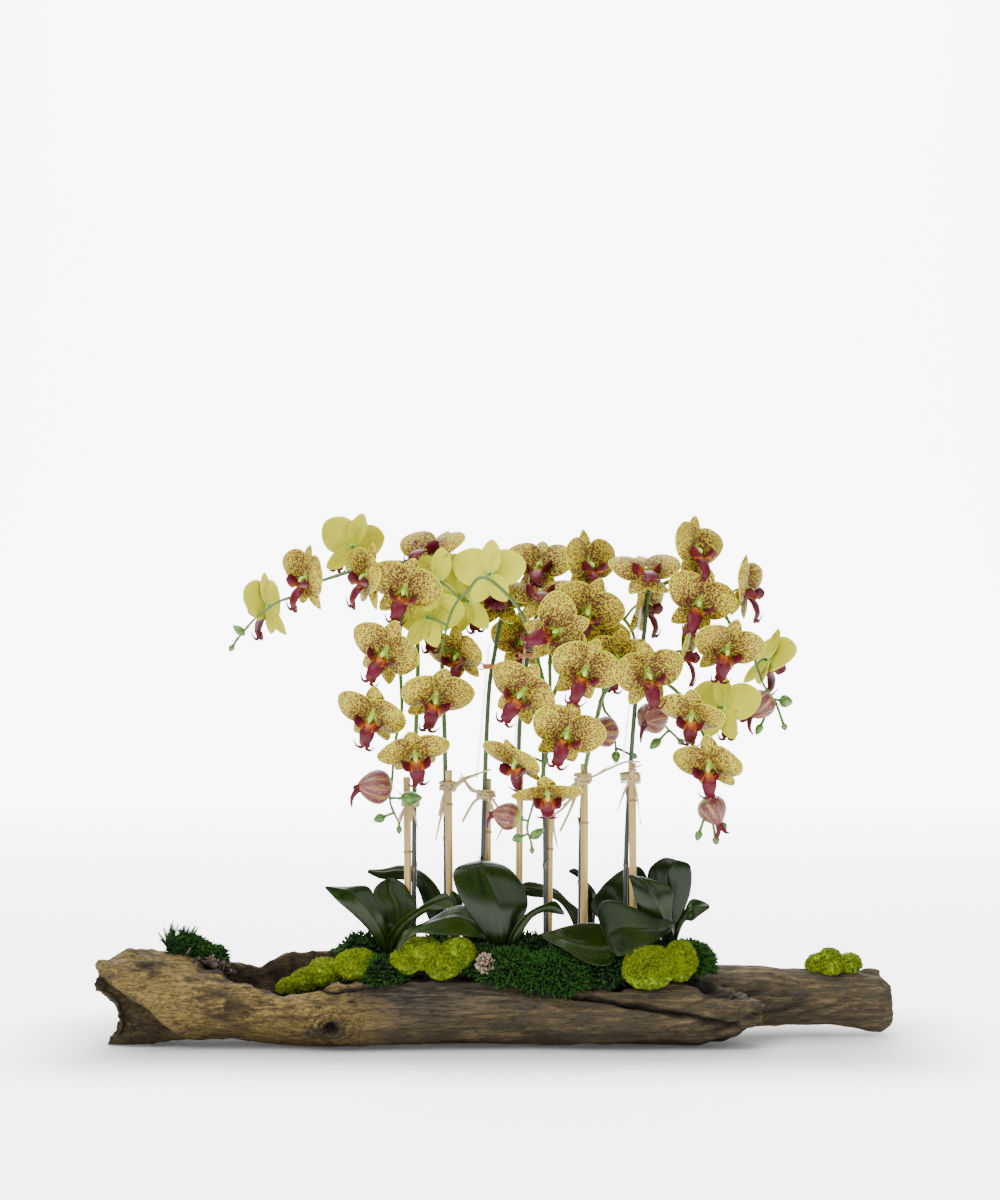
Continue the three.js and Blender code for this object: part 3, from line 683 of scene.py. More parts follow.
# The deep colours are near black, partly painted shade in the moss's depths.
LIME_MOSS = MossSkin(
    rgb(0.008, 0.016, 0.0003), rgb(0.085, 0.130, 0.001), rgb(0.29, 0.375, 0.004)
)
DARK_MOSS = MossSkin(
    rgb(0.0003, 0.0015, 0.0002), rgb(0.003, 0.022, 0.0010), rgb(0.042, 0.195, 0.009)
)


@dataclass(frozen=True)
class BarkMix:
    """Dark potting bark."""

    dark: Colour = rgb(0.018, 0.011, 0.007)

    def make(self) -> bpy.types.Material:
        """Builds the material.

        Returns:
            The material.
        """
        s = Shader("bark_mix")
        chips = s.cells(s.here(), 130)
        grit = s.noise(s.here(), 260, 5)
        colour = s.mix(s.fade(chips, 0.1, 0.8), rgb(0.085, 0.05, 0.026), self.dark)
        colour = s.mix(s.fade(grit, 0.6, 0.75) * 0.6, colour, rgb(0.16, 0.10, 0.055))
        height = chips * 0.6 + grit * 0.5
        return s.finish(Base_Color=colour, Roughness=0.92, Normal=s.bump(height, 0.003, 0.9))


@dataclass(frozen=True)
class DrySkin:
    """Dry scales and scraps, pale at their edges."""

    brown: Colour
    pale: Colour

    def make(self, name: str) -> bpy.types.Material:
        """Builds the material.

        Args:
            name: the material's name.

        Returns:
            The material.
        """
        s = Shader(name)
        grit = s.noise(s.here(), 420, 4, 0.4)
        colour = s.mix(s.fade(grit * 0.6 + s.mark("tip") * 0.6, 0.5, 0.95), self.brown, self.pale)
        return s.finish(Base_Color=colour, Roughness=0.85, Normal=s.bump(grit, 0.001, 0.8))


@dataclass(frozen=True)
class StudioFloor:
    """Matt grey sweep that glows white as painted light, least next to the log, which paints a soft
    shadow round it.
    """

    white: Colour = rgb(0.92, 0.92, 0.92)
    ground: Colour = rgb(0.56, 0.56, 0.56)

    def make(self) -> bpy.types.Material:
        """Builds the material, which glows more and more away from the log; the dim floor next to
        it is a painted shadow.

        Returns:
            The material.
        """
        s = Shader("studio_floor")
        away = s.noise(s.here(), 1.5, 1) * 0.02 + s.mark("glow")
        glow = s.mix(away, rgb(0.0, 0.0, 0.0), self.white)
        return s.finish(
            Base_Color=self.ground, Roughness=0.9, Emission_Color=glow, Emission_Strength=8.0
        )


# ---- shapes ----------------------------------------------------------------------------------


class Skin:
    """Gathers points and faces for one piece, with what each point carries."""

    def __init__(self) -> None:
        """Starts empty."""
        self.points: list[np.ndarray] = []
        self.faces: list[list[int]] = []
        self.slots: list[int] = []
        self.marks: dict[str, list[tuple[int, np.ndarray]]] = {}
        self.chart: list[np.ndarray] = []
        self.count = 0

    def add(
        self,
        points: np.ndarray,
        faces: list[list[int]],
        slot: int = 0,
        marks: dict[str, np.ndarray] | None = None,
        chart: np.ndarray | None = None,
    ) -> None:
        """Adds points in metres and the faces between them.

        Args:
            points: the points, one row each.
            faces: lists of indexes into those points.
            slot: which of the piece's materials they take.
            marks: a number or a vector for each point, by name.
            chart: each point's place on the piece's flat chart, or None.
        """
        base = self.count
        self.points.append(points)
        self.faces.extend([[base + i for i in face] for face in faces])
        self.slots.extend([slot] * len(faces))
        for name, values in (marks or {}).items():
            self.marks.setdefault(name, []).append((base, np.asarray(values, dtype=float)))
        self.chart.append(np.zeros((len(points), 2)) if chart is None else chart)
        self.count += len(points)

    def sheet(
        self,
        grid: np.ndarray,
        slot: int = 0,
        marks: dict[str, np.ndarray] | None = None,
        wrap: bool = False,
        flip: bool = False,
        cell: Cell | None = None,
    ) -> None:
        """Adds a grid of points as quads.

        Args:
            grid: points in rows and columns.
            slot: its material.
            marks: arrays with the grid's rows and columns.
            wrap: whether the last column joins the first.
            flip: whether to turn its faces over.
            cell: left, bottom and side of its square on the flat chart.
        """
        rows, columns = grid.shape[:2]
        index = np.arange(rows * columns).reshape(rows, columns)
        here = index if wrap else index[:, :-1]
        beside = np.roll(index, -1, axis=1) if wrap else index[:, 1:]
        quads = np.stack([here[:-1], beside[:-1], beside[1:], here[1:]], axis=-1).reshape(-1, 4)
        if flip:
            quads = quads[:, ::-1]
        flat = {}
        for name, values in (marks or {}).items():
            values = np.asarray(values, dtype=float)
            wide = (3,) if values.ndim == 3 else ()
            full = np.broadcast_to(values, (rows, columns) + wide)
            flat[name] = full.reshape((rows * columns,) + wide)
        chart = None
        if cell:
            across, up = np.meshgrid(np.linspace(0, 1, columns), np.linspace(0, 1, rows))
            spot = np.stack([across, up], axis=-1).reshape(-1, 2)
            chart = np.array(cell[:2]) + cell[2] * (0.05 + 0.9 * spot)
        self.add(grid.reshape(-1, 3), quads.tolist(), slot, flat, chart)

    def tube(
        self,
        path: np.ndarray,
        radii: np.ndarray | float,
        sides: int = 8,
        slot: int = 0,
        marks: dict[str, np.ndarray] | None = None,
        squash: float = 1.0,
        twist: float = 0.0,
        cell: Cell | None = None,
    ) -> None:
        """Adds a closed bar along a path.

        Args:
            path: its points, in metres.
            radii: its radius, one or one for each point.
            sides: its sides.
            slot: its material.
            marks: a number for each point of the path, by name.
            squash: its thickness over its width.
            twist: turns that its section makes along the way.
            cell: its square on the flat chart.
        """
        count = len(path)
        radii = np.broadcast_to(radii, (count,))
        along = np.gradient(path, axis=0)
        along /= np.linalg.norm(along, axis=1, keepdims=True) + 1e-12
        start = np.cross(along[0], (0.13, 0.97, 0.21))
        sideways = [start / np.linalg.norm(start)]
        for direction in along[1:]:
            kept = sideways[-1] - direction * np.dot(sideways[-1], direction)
            sideways.append(kept / (np.linalg.norm(kept) + 1e-12))
        first = np.array(sideways)
        second = np.cross(along, first)
        turn = np.tile(np.linspace(0, 2 * math.pi, sides, endpoint=False), (count, 1))
        spin = np.linspace(0, 2 * math.pi * twist, count)[:, None]
        one = np.cos(turn) * np.cos(spin) - squash * np.sin(turn) * np.sin(spin)
        two = np.cos(turn) * np.sin(spin) + squash * np.sin(turn) * np.cos(spin)
        ring = radii[:, None, None] * (
            one[..., None] * first[:, None, :] + two[..., None] * second[:, None, :]
        )
        grid = path[:, None, :] + ring
        spread = {
            name: np.repeat(np.asarray(values, dtype=float)[:, None], sides, axis=1)
            for name, values in (marks or {}).items()
        }
        length = np.concatenate([[0], np.cumsum(np.linalg.norm(np.diff(path, axis=0), axis=1))])
        spread["lay"] = np.stack(
            [
                np.cos(turn) * radii[:, None],
                np.broadcast_to(length[:, None], (count, sides)),
                np.zeros((count, sides)),
            ],
            axis=-1,
        )
        base = self.count
        self.sheet(grid, slot, spread, wrap=True, cell=cell)
        self.cap(base, count, sides, slot)

    def cap(self, base: int, rows: int, columns: int, slot: int) -> None:
        """Closes both ends of a grid whose last column joins its first.

        Args:
            base: the index of its first point.
            rows: its rows.
            columns: its columns.
            slot: the material of the ends.
        """
        last = base + (rows - 1) * columns
        self.faces.append([base + i for i in reversed(range(columns))])
        self.faces.append([last + i for i in range(columns)])
        self.slots.extend([slot, slot])

    def make(
        self, name: str, materials: list[bpy.types.Material], weld: float = 0.0, finer: int = 0
    ) -> bpy.types.Object:
        """Makes the piece, riding on the root body.

        Args:
            name: the piece's name.
            materials: its materials, in slot order.
            weld: the distance in metres within which points become one.
            finer: levels of subdivision.

        Returns:
            The object.
        """
        mesh = bpy.data.meshes.new(name)
        mesh.from_pydata(np.concatenate(self.points).tolist(), [], self.faces)
        mesh.polygons.foreach_set("material_index", self.slots)
        for mark, blocks in self.marks.items():
            vector = blocks[0][1].ndim == 2
            values = np.zeros((self.count, 3) if vector else self.count)
            for base, block in blocks:
                values[base : base + len(block)] = block
            kind = "FLOAT_VECTOR" if vector else "FLOAT"
            layer = mesh.attributes.new(mark, kind, "POINT")
            layer.data.foreach_set("vector" if vector else "value", values.ravel())
        chart = np.concatenate(self.chart)
        if chart.any():
            corners = np.empty(len(mesh.loops), dtype=int)
            mesh.loops.foreach_get("vertex_index", corners)
            mesh.uv_layers.new(name="OFBake").data.foreach_set("uv", chart[corners].ravel())
        if weld:
            soft = bmesh.new()
            soft.from_mesh(mesh)
            bmesh.ops.remove_doubles(soft, verts=soft.verts, dist=weld)
            bmesh.ops.dissolve_degenerate(soft, edges=soft.edges, dist=weld / 2)
            soft.to_mesh(mesh)
            soft.free()
        mesh.shade_smooth()
        return show(name, mesh, materials, finer)


def show(
    name: str, mesh: bpy.types.Mesh, materials: list[bpy.types.Material], finer: int = 0
) -> bpy.types.Object:
    """Puts a mesh in the scene as a piece that rides on the root body.

    Args:
        name: the piece's name.
        mesh: its mesh.
        materials: its materials.
        finer: levels of subdivision.

    Returns:
        The object.
    """
    piece = bpy.data.objects.new(name, mesh)
    bpy.context.scene.collection.objects.link(piece)
    for material in materials:
        mesh.materials.append(material)
    if finer:
        smooth = piece.modifiers.new("finer", "SUBSURF")
        smooth.levels = finer
        smooth.render_levels = finer
    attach(piece, "root")
    return piece


def spline(points: list[tuple[float, ...]], count: int) -> np.ndarray:
    """Gives evenly spaced points on a smooth curve through some points.

    Args:
        points: the points to pass through.
        count: how many points to give.

    Returns:
        The points on the curve, in the same units.
    """
    knots = np.asarray(points, dtype=float)
    padded = np.vstack([2 * knots[0] - knots[1], knots, 2 * knots[-1] - knots[-2]])
    dense = []
    for i in range(1, len(padded) - 2):
        a, b, c, d = padded[i - 1 : i + 3]
        t = np.linspace(0, 1, 24, endpoint=False)[:, None]
        dense.append(
            0.5 * (2 * b + (c - a) * t + (2 * a - 5 * b + 4 * c - d) * t**2
                   + (3 * b - a - 3 * c + d) * t**3)
        )
    dense = np.vstack([*dense, knots[-1:]])
    run = np.concatenate([[0], np.cumsum(np.linalg.norm(np.diff(dense, axis=0), axis=1))])
    wanted = np.linspace(0, run[-1], count)
    return np.stack([np.interp(wanted, run, dense[:, k]) for k in range(3)], axis=1)


def lattice_noise(points: np.ndarray, seed: int = 0) -> np.ndarray:
    """Gives smooth noise from -1 to 1, one cell for each unit of length.

    Args:
        points: places, one row each.
        seed: which noise.

    Returns:
        One value for each place.
    """
    floor = np.floor(points).astype(np.int64)
    part = points - floor
    ease = part * part * (3 - 2 * part)
    total = np.zeros(len(points))
    for corner in range(8):
        step = np.array([(corner >> k) & 1 for k in range(3)])
        cell = floor + step
        key = cell[:, 0] * 374761393 + cell[:, 1] * 668265263 + cell[:, 2] * 2147483647
        key = (key + seed * 1442695) & 0xFFFFFFFF
        key = ((key ^ (key >> 13)) * 1274126177) & 0xFFFFFFFF
        value = ((key ^ (key >> 16)) & 0xFFFF) / 32767.5 - 1
        weight = np.prod(np.where(step == 1, ease, 1 - ease), axis=1)
        total += value * weight
    return total


def layered(points: np.ndarray, octaves: int = 4, seed: int = 0) -> np.ndarray:
    """Sums noise at halving sizes."""
    return sum(lattice_noise(points * 2**k, seed + k) / 2**k for k in range(octaves)) / 1.6


def node_copy(node: str, voxel: float) -> bpy.types.Mesh:
    """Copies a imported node's mesh, remeshed evenly.

    Args:
        node: the node's name.
        voxel: the new mesh's spacing in metres.

    Returns:
        The new mesh.
    """
    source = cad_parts[node]
    piece = bpy.data.objects.new(node + "_copy", source.data.copy())
    bpy.context.scene.collection.objects.link(piece)
    piece.matrix_world = source.matrix_world
    remesh = piece.modifiers.new("even", "REMESH")
    remesh.mode = "VOXEL"
    remesh.voxel_size = voxel
    bpy.context.view_layer.update()
    mesh = bpy.data.meshes.new_from_object(
        piece.evaluated_get(bpy.context.evaluated_depsgraph_get())
    )
    mesh.transform(piece.matrix_world)
    bpy.data.objects.remove(piece)
    mesh.materials.clear()
    return mesh


def read_points(mesh: bpy.types.Mesh) -> tuple[np.ndarray, np.ndarray]:
    """Gives a mesh's points and normals.

    Args:
        mesh: the mesh.

    Returns:
        Its points in table millimetres, and its normals.
    """
    points = np.empty(len(mesh.vertices) * 3)
    mesh.vertices.foreach_get("co", points)
    normals = np.empty(len(mesh.vertices) * 3)
    mesh.vertices.foreach_get("normal", normals)
    return (points.reshape(-1, 3) - SHIFT) / MM, normals.reshape(-1, 3)


def write_points(mesh: bpy.types.Mesh, points: np.ndarray) -> None:
    """Sets a mesh's points from table millimetres."""
    mesh.vertices.foreach_set("co", placed(points).ravel())
    mesh.update()


def carry(mesh: bpy.types.Mesh, name: str, values: np.ndarray) -> None:
    """Gives a mesh a number at each point."""
    layer = mesh.attributes.new(name, "FLOAT", "POINT")
    layer.data.foreach_set("value", np.clip(values, 0, 1))


def smoothstep(low: float, high: float, value: np.ndarray) -> np.ndarray:
    """Goes smoothly from 0 at low to 1 at high."""
    t = np.clip((value - low) / (high - low), 0, 1)
    return t * t * (3 - 2 * t)


def blade_grid(rows: int, columns: int) -> tuple[np.ndarray, ...]:
    """Gives each point's place along a blade, from 0 to 1, and across it, from -1 to 1."""
    return tuple(np.meshgrid(np.linspace(0, 1, rows), np.linspace(-1, 1, columns), indexing="ij"))


def distance_to_line(points: np.ndarray, line: np.ndarray) -> tuple[np.ndarray, np.ndarray]:
    """Measures from points to a line of straight runs.

    Args:
        points: places, one row each.
        line: the line's corners.

    Returns:
        Each place's distance, and how far along the line it is, from 0 to 1.
    """
    best = np.full(len(points), 1e9)
    where = np.zeros(len(points))
    for k, (a, b) in enumerate(zip(line[:-1], line[1:])):
        run = b - a
        t = np.clip(((points - a) @ run) / (run @ run), 0, 1)
        gap = np.linalg.norm(points - (a + t[:, None] * run), axis=1)
        closer = gap < best
        best = np.where(closer, gap, best)
        where = np.where(closer, (k + t) / (len(line) - 1), where)
    return best, where


# ---- the log ---------------------------------------------------------------------------------


@dataclass
class Log:
    """The driftwood log: grain, cracks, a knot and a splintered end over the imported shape."""

    voxel: float = 2.8 * MM
    grain_depth: float = 2.1
    knot: tuple[float, float, float] = (-190, -78, 30)
    knot_reach: float = 40.0
    long_crack: tuple = ((80, 0, 69), (130, 0, 63), (178, 0, 55), (220, 0, 45), (262, 0, 35),
                         (294, 0, 29))
    slot_crack: tuple = ((222, 0, 83), (252, 0, 77), (284, 0, 67), (304, 0, 62))
    root_ridge: tuple = ((-474, -10, 100), (-438, -50, 78), (-404, -66, 58), (-384, -72, 36),
                         (-356, -74, 14))
    stains: tuple = ((-409, -50, 96, 22), (-312, -70, 55, 30), (-352, -72, 40, 24))
    rim_crack: tuple = ((-206, 0, 78), (-188, 0, 70), (-160, 0, 74), (-120, 0, 80))

    def build(self) -> bpy.types.Object:
        """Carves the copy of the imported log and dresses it.

        Returns:
            The piece.
        """
        mesh = node_copy("driftwood_log", self.voxel)
        points, normals = read_points(mesh)
        x, y, z = points.T
        stretch = points / np.array([62.0, 13.0, 13.0])
        grain = layered(stretch, 4, 3)
        lumps = layered(points / 46.0, 3, 11)
        ridges = 1 - np.abs(layered(points / np.array([120.0, 17.0, 17.0]), 3, 23))
        push = self.grain_depth * grain + 3.2 * lumps + 2.0 * (ridges**4 - 0.5)
        inside = self._hollow(points, normals)
        waves = np.sin(points[:, 0] / 4.2 + points[:, 2] / 9.0 + 3 * lumps)
        push = np.where(inside > 0.5, 1.6 * push + 1.6 * waves, push)
        # Painted shade on the ripples inside the trough.
        shade = inside * 0.7 * smoothstep(0.0, 0.9, waves)
        push, shade = self._carve(points, push, shade)
        push, shade = self._work_knot(points, push, shade)
        push, shade = self._tear_ends(points, push, shade)
        floor = smoothstep(0.5, 7.0, z)
        moved = points + normals * (push * (0.15 + 0.85 * floor))[:, None]
        wall = smoothstep(-288, -250, x) * (1 - smoothstep(-176, -140, x))
        moved[:, 2] += 17 * wall * smoothstep(8, 26, y) * smoothstep(62, 84, z)
        moved[:, 2] = np.maximum(moved[:, 2], 0.0)
        low, high = CAD_BOX
        span = ((np.array(low) - SHIFT) / MM, (np.array(high) - SHIFT) / MM)
        moved[:, 0] = np.clip(moved[:, 0], span[0][0] - 2, span[1][0] + 2)
        write_points(mesh, moved)
        mesh.shade_smooth()
        # Adds painted shade in the grain's hollows outside the trough to the rest of the shade
        # mark.
        carry(mesh, "shade", shade + 0.5 * smoothstep(0.35, 0.9, -grain) * (1 - inside))
        # The hollow mark is painted shade inside the trough, lightened towards the lit top of its
        # back wall.
        carry(mesh, "hollow", inside * (1 - 0.75 * smoothstep(74, 104, z) * smoothstep(10, 30, y)))
        carry(mesh, "cut", smoothstep(0.55, 0.85, normals[:, 0]) * smoothstep(455, 466, x))
        wander = 34 * layered(points / 70.0, 2, 5)
        carry(mesh, "root_end", 1 - smoothstep(-215, -105, x + wander))
        upper = smoothstep(38, 64, z + 0.6 * wander)
        old = smoothstep(-186, -150, x + 0.6 * wander) * (1 - smoothstep(-70, 70, x + 2 * wander))
        carry(mesh, "bark", old * upper)
        piece = show("log_wood", mesh, [Driftwood().make()])
        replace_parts(piece, "driftwood_log")
        return piece

    @staticmethod
    def _hollow(points: np.ndarray, normals: np.ndarray) -> np.ndarray:
        """Finds the inside of the trough: faces that look up or inwards within its walls.

        Args:
            points: the log's points.
            normals: its normals.

        Returns:
            1 for each point inside it, and 0 elsewhere.
        """
        x, y, z = points.T
        within = (x > -352) & (x < 218) & (y > -66) & (y < 68) & (z > 36)
        outward = normals[:, 1] * np.sign(y - 2)
        inner = within & ((outward < 0.2) | (np.abs(y - 2) < 46))
        return inner.astype(float)

    def _carve(
        self, points: np.ndarray, push: np.ndarray, shade: np.ndarray
    ) -> tuple[np.ndarray, np.ndarray]:
        """Cuts the cracks.

        Args:
            points: the log's points.
            push: how far each is pushed out.
            shade: how dark each is.

        Returns:
            The new push and shade.
        """
        cracks = (
            (self.long_crack, 5.5, 13.0),
            (self.slot_crack, 7.5, 15.0),
            (self.rim_crack, 3.0, 4.5),
        )
        wobble = np.stack([layered(points / 18.0, 2, 40 + k) for k in range(3)], axis=1) * 2.4
        front = 1 - smoothstep(-10, 10, points[:, 1])
        flat = (points + wobble) * np.array([1.0, 0.0, 1.0])
        for line, width, depth in cracks:
            gap, where = distance_to_line(flat, np.array(line, dtype=float))
            taper = np.sin(np.pi * np.clip(where * 0.94 + 0.05, 0, 1)) ** 0.5
            bite = front * (1 - smoothstep(0.25, 1.0, gap / (width * (0.35 + 0.65 * taper))))
            push = push - depth * taper * bite
            # Painted shade down each crack.
            shade = np.maximum(shade, bite * (0.45 + 0.55 * taper))
        for x, y, z, reach in self.stains:
            away = (points + 2.5 * wobble - np.array([x, y, z])) * np.array([0.8, 0.8, 1.1])
            patch = 0.9 * (1 - smoothstep(0.1, 1.1, np.linalg.norm(away, axis=1) / reach))
            shade = np.maximum(shade, patch * smoothstep(-0.5, 0.3, wobble[:, 0]))
        return push, shade

    def _work_knot(
        self, points: np.ndarray, push: np.ndarray, shade: np.ndarray
    ) -> tuple[np.ndarray, np.ndarray]:
        """Raises the knot with rings round its dark hole.

        Args:
            points: the log's points.
            push: how far each is pushed out.
            shade: how dark each is.

        Returns:
            The new push and shade.
        """
        away = points - np.array(self.knot)
        away[:, 0] *= 0.9 + 0.1 * np.sign(away[:, 2])
        reach = np.linalg.norm(away, axis=1) + 3 * layered(points / 14.0, 2, 71)
        swell = 1 - smoothstep(0.1, 1.0, reach / self.knot_reach)
        rings = np.cos(reach * 0.78 + 2.2 * layered(points / 20.0, 2, 72)) * swell
        hole = 1 - smoothstep(0.45, 1.0, reach / 11.0)
        push = push + 5.5 * swell + 2.2 * rings - 12 * hole
        lines = swell * smoothstep(0.35, 0.9, -rings / (swell + 1e-6)) * 0.75
        # The knot's hole gets painted shade, and the dark ring lines run round it.
        return push, np.maximum(shade, np.maximum(hole, lines))

    def _tear_ends(
        self, points: np.ndarray, push: np.ndarray, shade: np.ndarray
    ) -> tuple[np.ndarray, np.ndarray]:
        """Ridges the root end and splinters the trunk's right end.

        Args:
            points: the log's points.
            push: how far each is pushed out.
            shade: how dark each is.

        Returns:
            The new push and shade.
        """
        x, y, z = points.T
        gap, _ = distance_to_line(points, np.array(self.root_ridge, dtype=float))
        ridge = 1 - smoothstep(0.0, 1.0, gap / 15.0)
        edge = np.interp(x, [-472, -438, -404, -384, -350], [98, 74, 55, 32, 10])
        below = smoothstep(0, 12, edge - z)
        root = 1 - smoothstep(-400, -350, x)
        push = push + 7.5 * ridge - 13.0 * below * root * (1 - ridge) * smoothstep(3, 22, z)
        # Painted shade on the hollowed face below the root ridge.
        shade = np.maximum(shade, 0.74 * below * root * (1 - ridge))
        bark = 1 - np.abs(layered(points / np.array([26.0, 11.0, 11.0]), 3, 91))
        push = push + root * 2.6 * (bark**5 - 0.4)
        near = smoothstep(196, 300, x) * (1 - smoothstep(-6, 10, y - 8))
        slanted = points - np.array([0.0, 0.0, 1.0]) * (0.30 * (x - 250))[:, None]
        splinter = layered(slanted / np.array([95.0, 9.0, 6.5]), 2, 55)
        push = push + near * 10.0 * splinter
        # Painted shade in the gaps between the splinters.
        shade = np.maximum(shade, near * 0.95 * smoothstep(0.05, 0.40, -splinter))
        limb_cut = smoothstep(466, 474, x)
        return push, np.maximum(shade, 0.3 * limb_cut * smoothstep(0.1, 0.5, bark - 0.4))


# ---- mosses ----------------------------------------------------------------------------------


@dataclass
class Moss:
    """One clump of moss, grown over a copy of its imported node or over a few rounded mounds."""

    node: str
    kind: MossKind
    sprigs: int
    sprig_length: float
    seed: int
    voxel: float = 1.8 * MM
    extra: tuple = ()
    mounds: tuple = ()
    packed: bool = True
    fronds: int = 9

    def build(self, material: bpy.types.Material) -> bpy.types.Object:
        """Roughens the clump's body and plants its sprigs.

        Args:
            material: the moss's finish.

        Returns:
            The piece.
        """
        skin = Skin()
        if self.mounds:
            for mound in self.mounds:
                self._grow(skin, *self._heap(mound), self.sprigs // len(self.mounds))
        else:
            mesh = node_copy(self.node, self.voxel)
            faces = [list(face.vertices) for face in mesh.polygons]
            self._grow(skin, *read_points(mesh), faces, self.sprigs)
            bpy.data.meshes.remove(mesh)
        piece = skin.make(f"{self.node}_growth", [material])
        if self.packed:
            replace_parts(piece, self.node)
        return piece

    @staticmethod
    def _heap(mound: tuple[float, ...]) -> tuple[np.ndarray, np.ndarray, list[list[int]]]:
        """Shapes one rounded mound.

        Args:
            mound: its centre and its three half widths, in millimetres.

        Returns:
            Its points, normals and faces.
        """
        ball = bmesh.new()
        bmesh.ops.create_icosphere(ball, subdivisions=5, radius=1.0)
        normals = np.array([tuple(corner.co) for corner in ball.verts])
        faces = [[corner.index for corner in face.verts] for face in ball.faces]
        ball.free()
        return np.array(mound[:3]) + normals * np.array(mound[3:]), normals, faces

    def _grow(
        self,
        skin: Skin,
        points: np.ndarray,
        normals: np.ndarray,
        faces: list[list[int]],
        sprigs: int,
    ) -> None:
        """Roughens one body and plants its sprigs.

        Args:
            skin: the clump's skin.
            points: the body's points in millimetres.
            normals: its normals.
            faces: its faces.
            sprigs: how many sprigs grow on it.
        """
        # The tip mark is partly painted shade: lower points of the body, and the sheet moss's whole
        # body, take the near-black deep colour.
        if self.kind is MossKind.CUSHION:
            heads = 1 - np.abs(layered(points / 5.0, 2, self.seed)) * 1.7
            curls = 1 - np.abs(lattice_noise(points / 2.2, self.seed + 5)) * 1.6
            lumps = layered(points / 21.0, 2, self.seed + 9)
            push = 1.3 * (heads - 0.45) + 0.8 * curls + 3.6 * lumps
            tip = smoothstep(-0.3, 1.0, heads * 0.55 + curls * 0.45) * (0.58 + 0.4 * lumps)
        else:
            lumps = layered(points / 16.0, 3, self.seed)
            push = 3.4 * lumps - 2.0
            tip = 0.06 + 0.2 * lumps
        moved = points + normals * push[:, None]
        marks = {"tip": np.clip(tip, 0, 1), "tint": np.zeros(len(points))}
        skin.add(placed(moved), faces, 0, marks)
        self._plant(skin, moved, normals, sprigs)

    def _plant(self, skin: Skin, points: np.ndarray, normals: np.ndarray, sprigs: int) -> None:
        """Plants sprigs over the clump's upper side.

        Args:
            skin: the clump's skin.
            points: the body's points in millimetres.
            normals: its normals.
            sprigs: how many to plant.
        """
        chance = np.random.default_rng(self.seed)
        upper = np.flatnonzero(normals[:, 2] > -0.35)
        roots = chance.choice(upper, sprigs)
        cushion = self.kind is MossKind.CUSHION
        for root in roots:
            reach = self.sprig_length * chance.uniform(0.6, 1.3)
            lean = normals[root] + chance.normal(0, 0.45, 3)
            lean[2] += 0.15
            lean /= np.linalg.norm(lean)
            self._sprig(skin, points[root], lean, reach, chance, cushion)
        for x, y, z, tall in self.extra:
            for _ in range(self.fronds):
                lean = np.array([chance.normal(0.1, 0.5), chance.normal(0, 0.4), 1.0])
                start = np.array([x, y, z]) + chance.normal(0, 2.2, 3)
                self._frond(skin, start, lean / np.linalg.norm(lean), tall, chance)

    @staticmethod
    def _sprig(
        skin: Skin,
        start: np.ndarray,
        lean: np.ndarray,
        reach: float,
        chance: np.random.Generator,
        cushion: bool,
    ) -> None:
        """Adds one sprig: a stubby curl, or a thin curved blade.

        Args:
            skin: the clump's skin.
            start: where it grows from.
            lean: the way it points.
            reach: its length.
            chance: its small differences.
            cushion: whether it is a curl.
        """
        side = np.cross(lean, chance.normal(0, 1, 3))
        side /= np.linalg.norm(side) + 1e-9
        third = np.cross(lean, side)
        width = reach * (0.20 if cushion else 0.075) + (0.0 if cushion else 0.35)
        bend = (side * chance.uniform(-0.5, 0.5) + np.array([0, 0, -0.25])) * reach
        middle = start + lean * reach * 0.55 + bend * 0.15
        tip = start + lean * reach * 0.95 + bend * 0.6
        turn = np.array([0.0, 2.1, 4.2])
        ring = np.cos(turn)[:, None] * side + np.sin(turn)[:, None] * third
        points = np.vstack([start - lean + ring * width, middle + ring * width * 0.85, tip])
        faces = [[k, (k + 1) % 3, 3 + (k + 1) % 3, 3 + k] for k in range(3)]
        faces += [[3 + k, 3 + (k + 1) % 3, 6] for k in range(3)]
        faces.append([2, 1, 0])
        # Each sprig is darker towards its base, partly painted shade.
        height = np.array([0.35] * 3 + [0.75] * 3 + [1.0]) * (0.95 if cushion else 0.8)
        tint = np.full(7, chance.uniform(0, 1))
        skin.add(placed(points), faces, 0, {"tip": height, "tint": tint})

    def _frond(
        self,
        skin: Skin,
        start: np.ndarray,
        lean: np.ndarray,
        tall: float,
        chance: np.random.Generator,
    ) -> None:
        """Adds a tall fern-like sprig with side leaves.

        Args:
            skin: the clump's skin.
            start: where it grows from.
            lean: the way it points.
            tall: its greatest length.
            chance: its small differences.
        """
        tall = tall * chance.uniform(0.55, 1.0)
        for step in np.linspace(0.15, 1.0, 14):
            at = start + lean * tall * step
            for sign in (-1, 1):
                out = lean * 0.7 + np.array([sign * 0.8, chance.uniform(-0.5, 0.5), 0.1])
                out /= np.linalg.norm(out)
                self._sprig(skin, at, out, tall * 0.26 * (1.25 - step), chance, False)
        self._sprig(skin, start, lean, tall, chance, False)


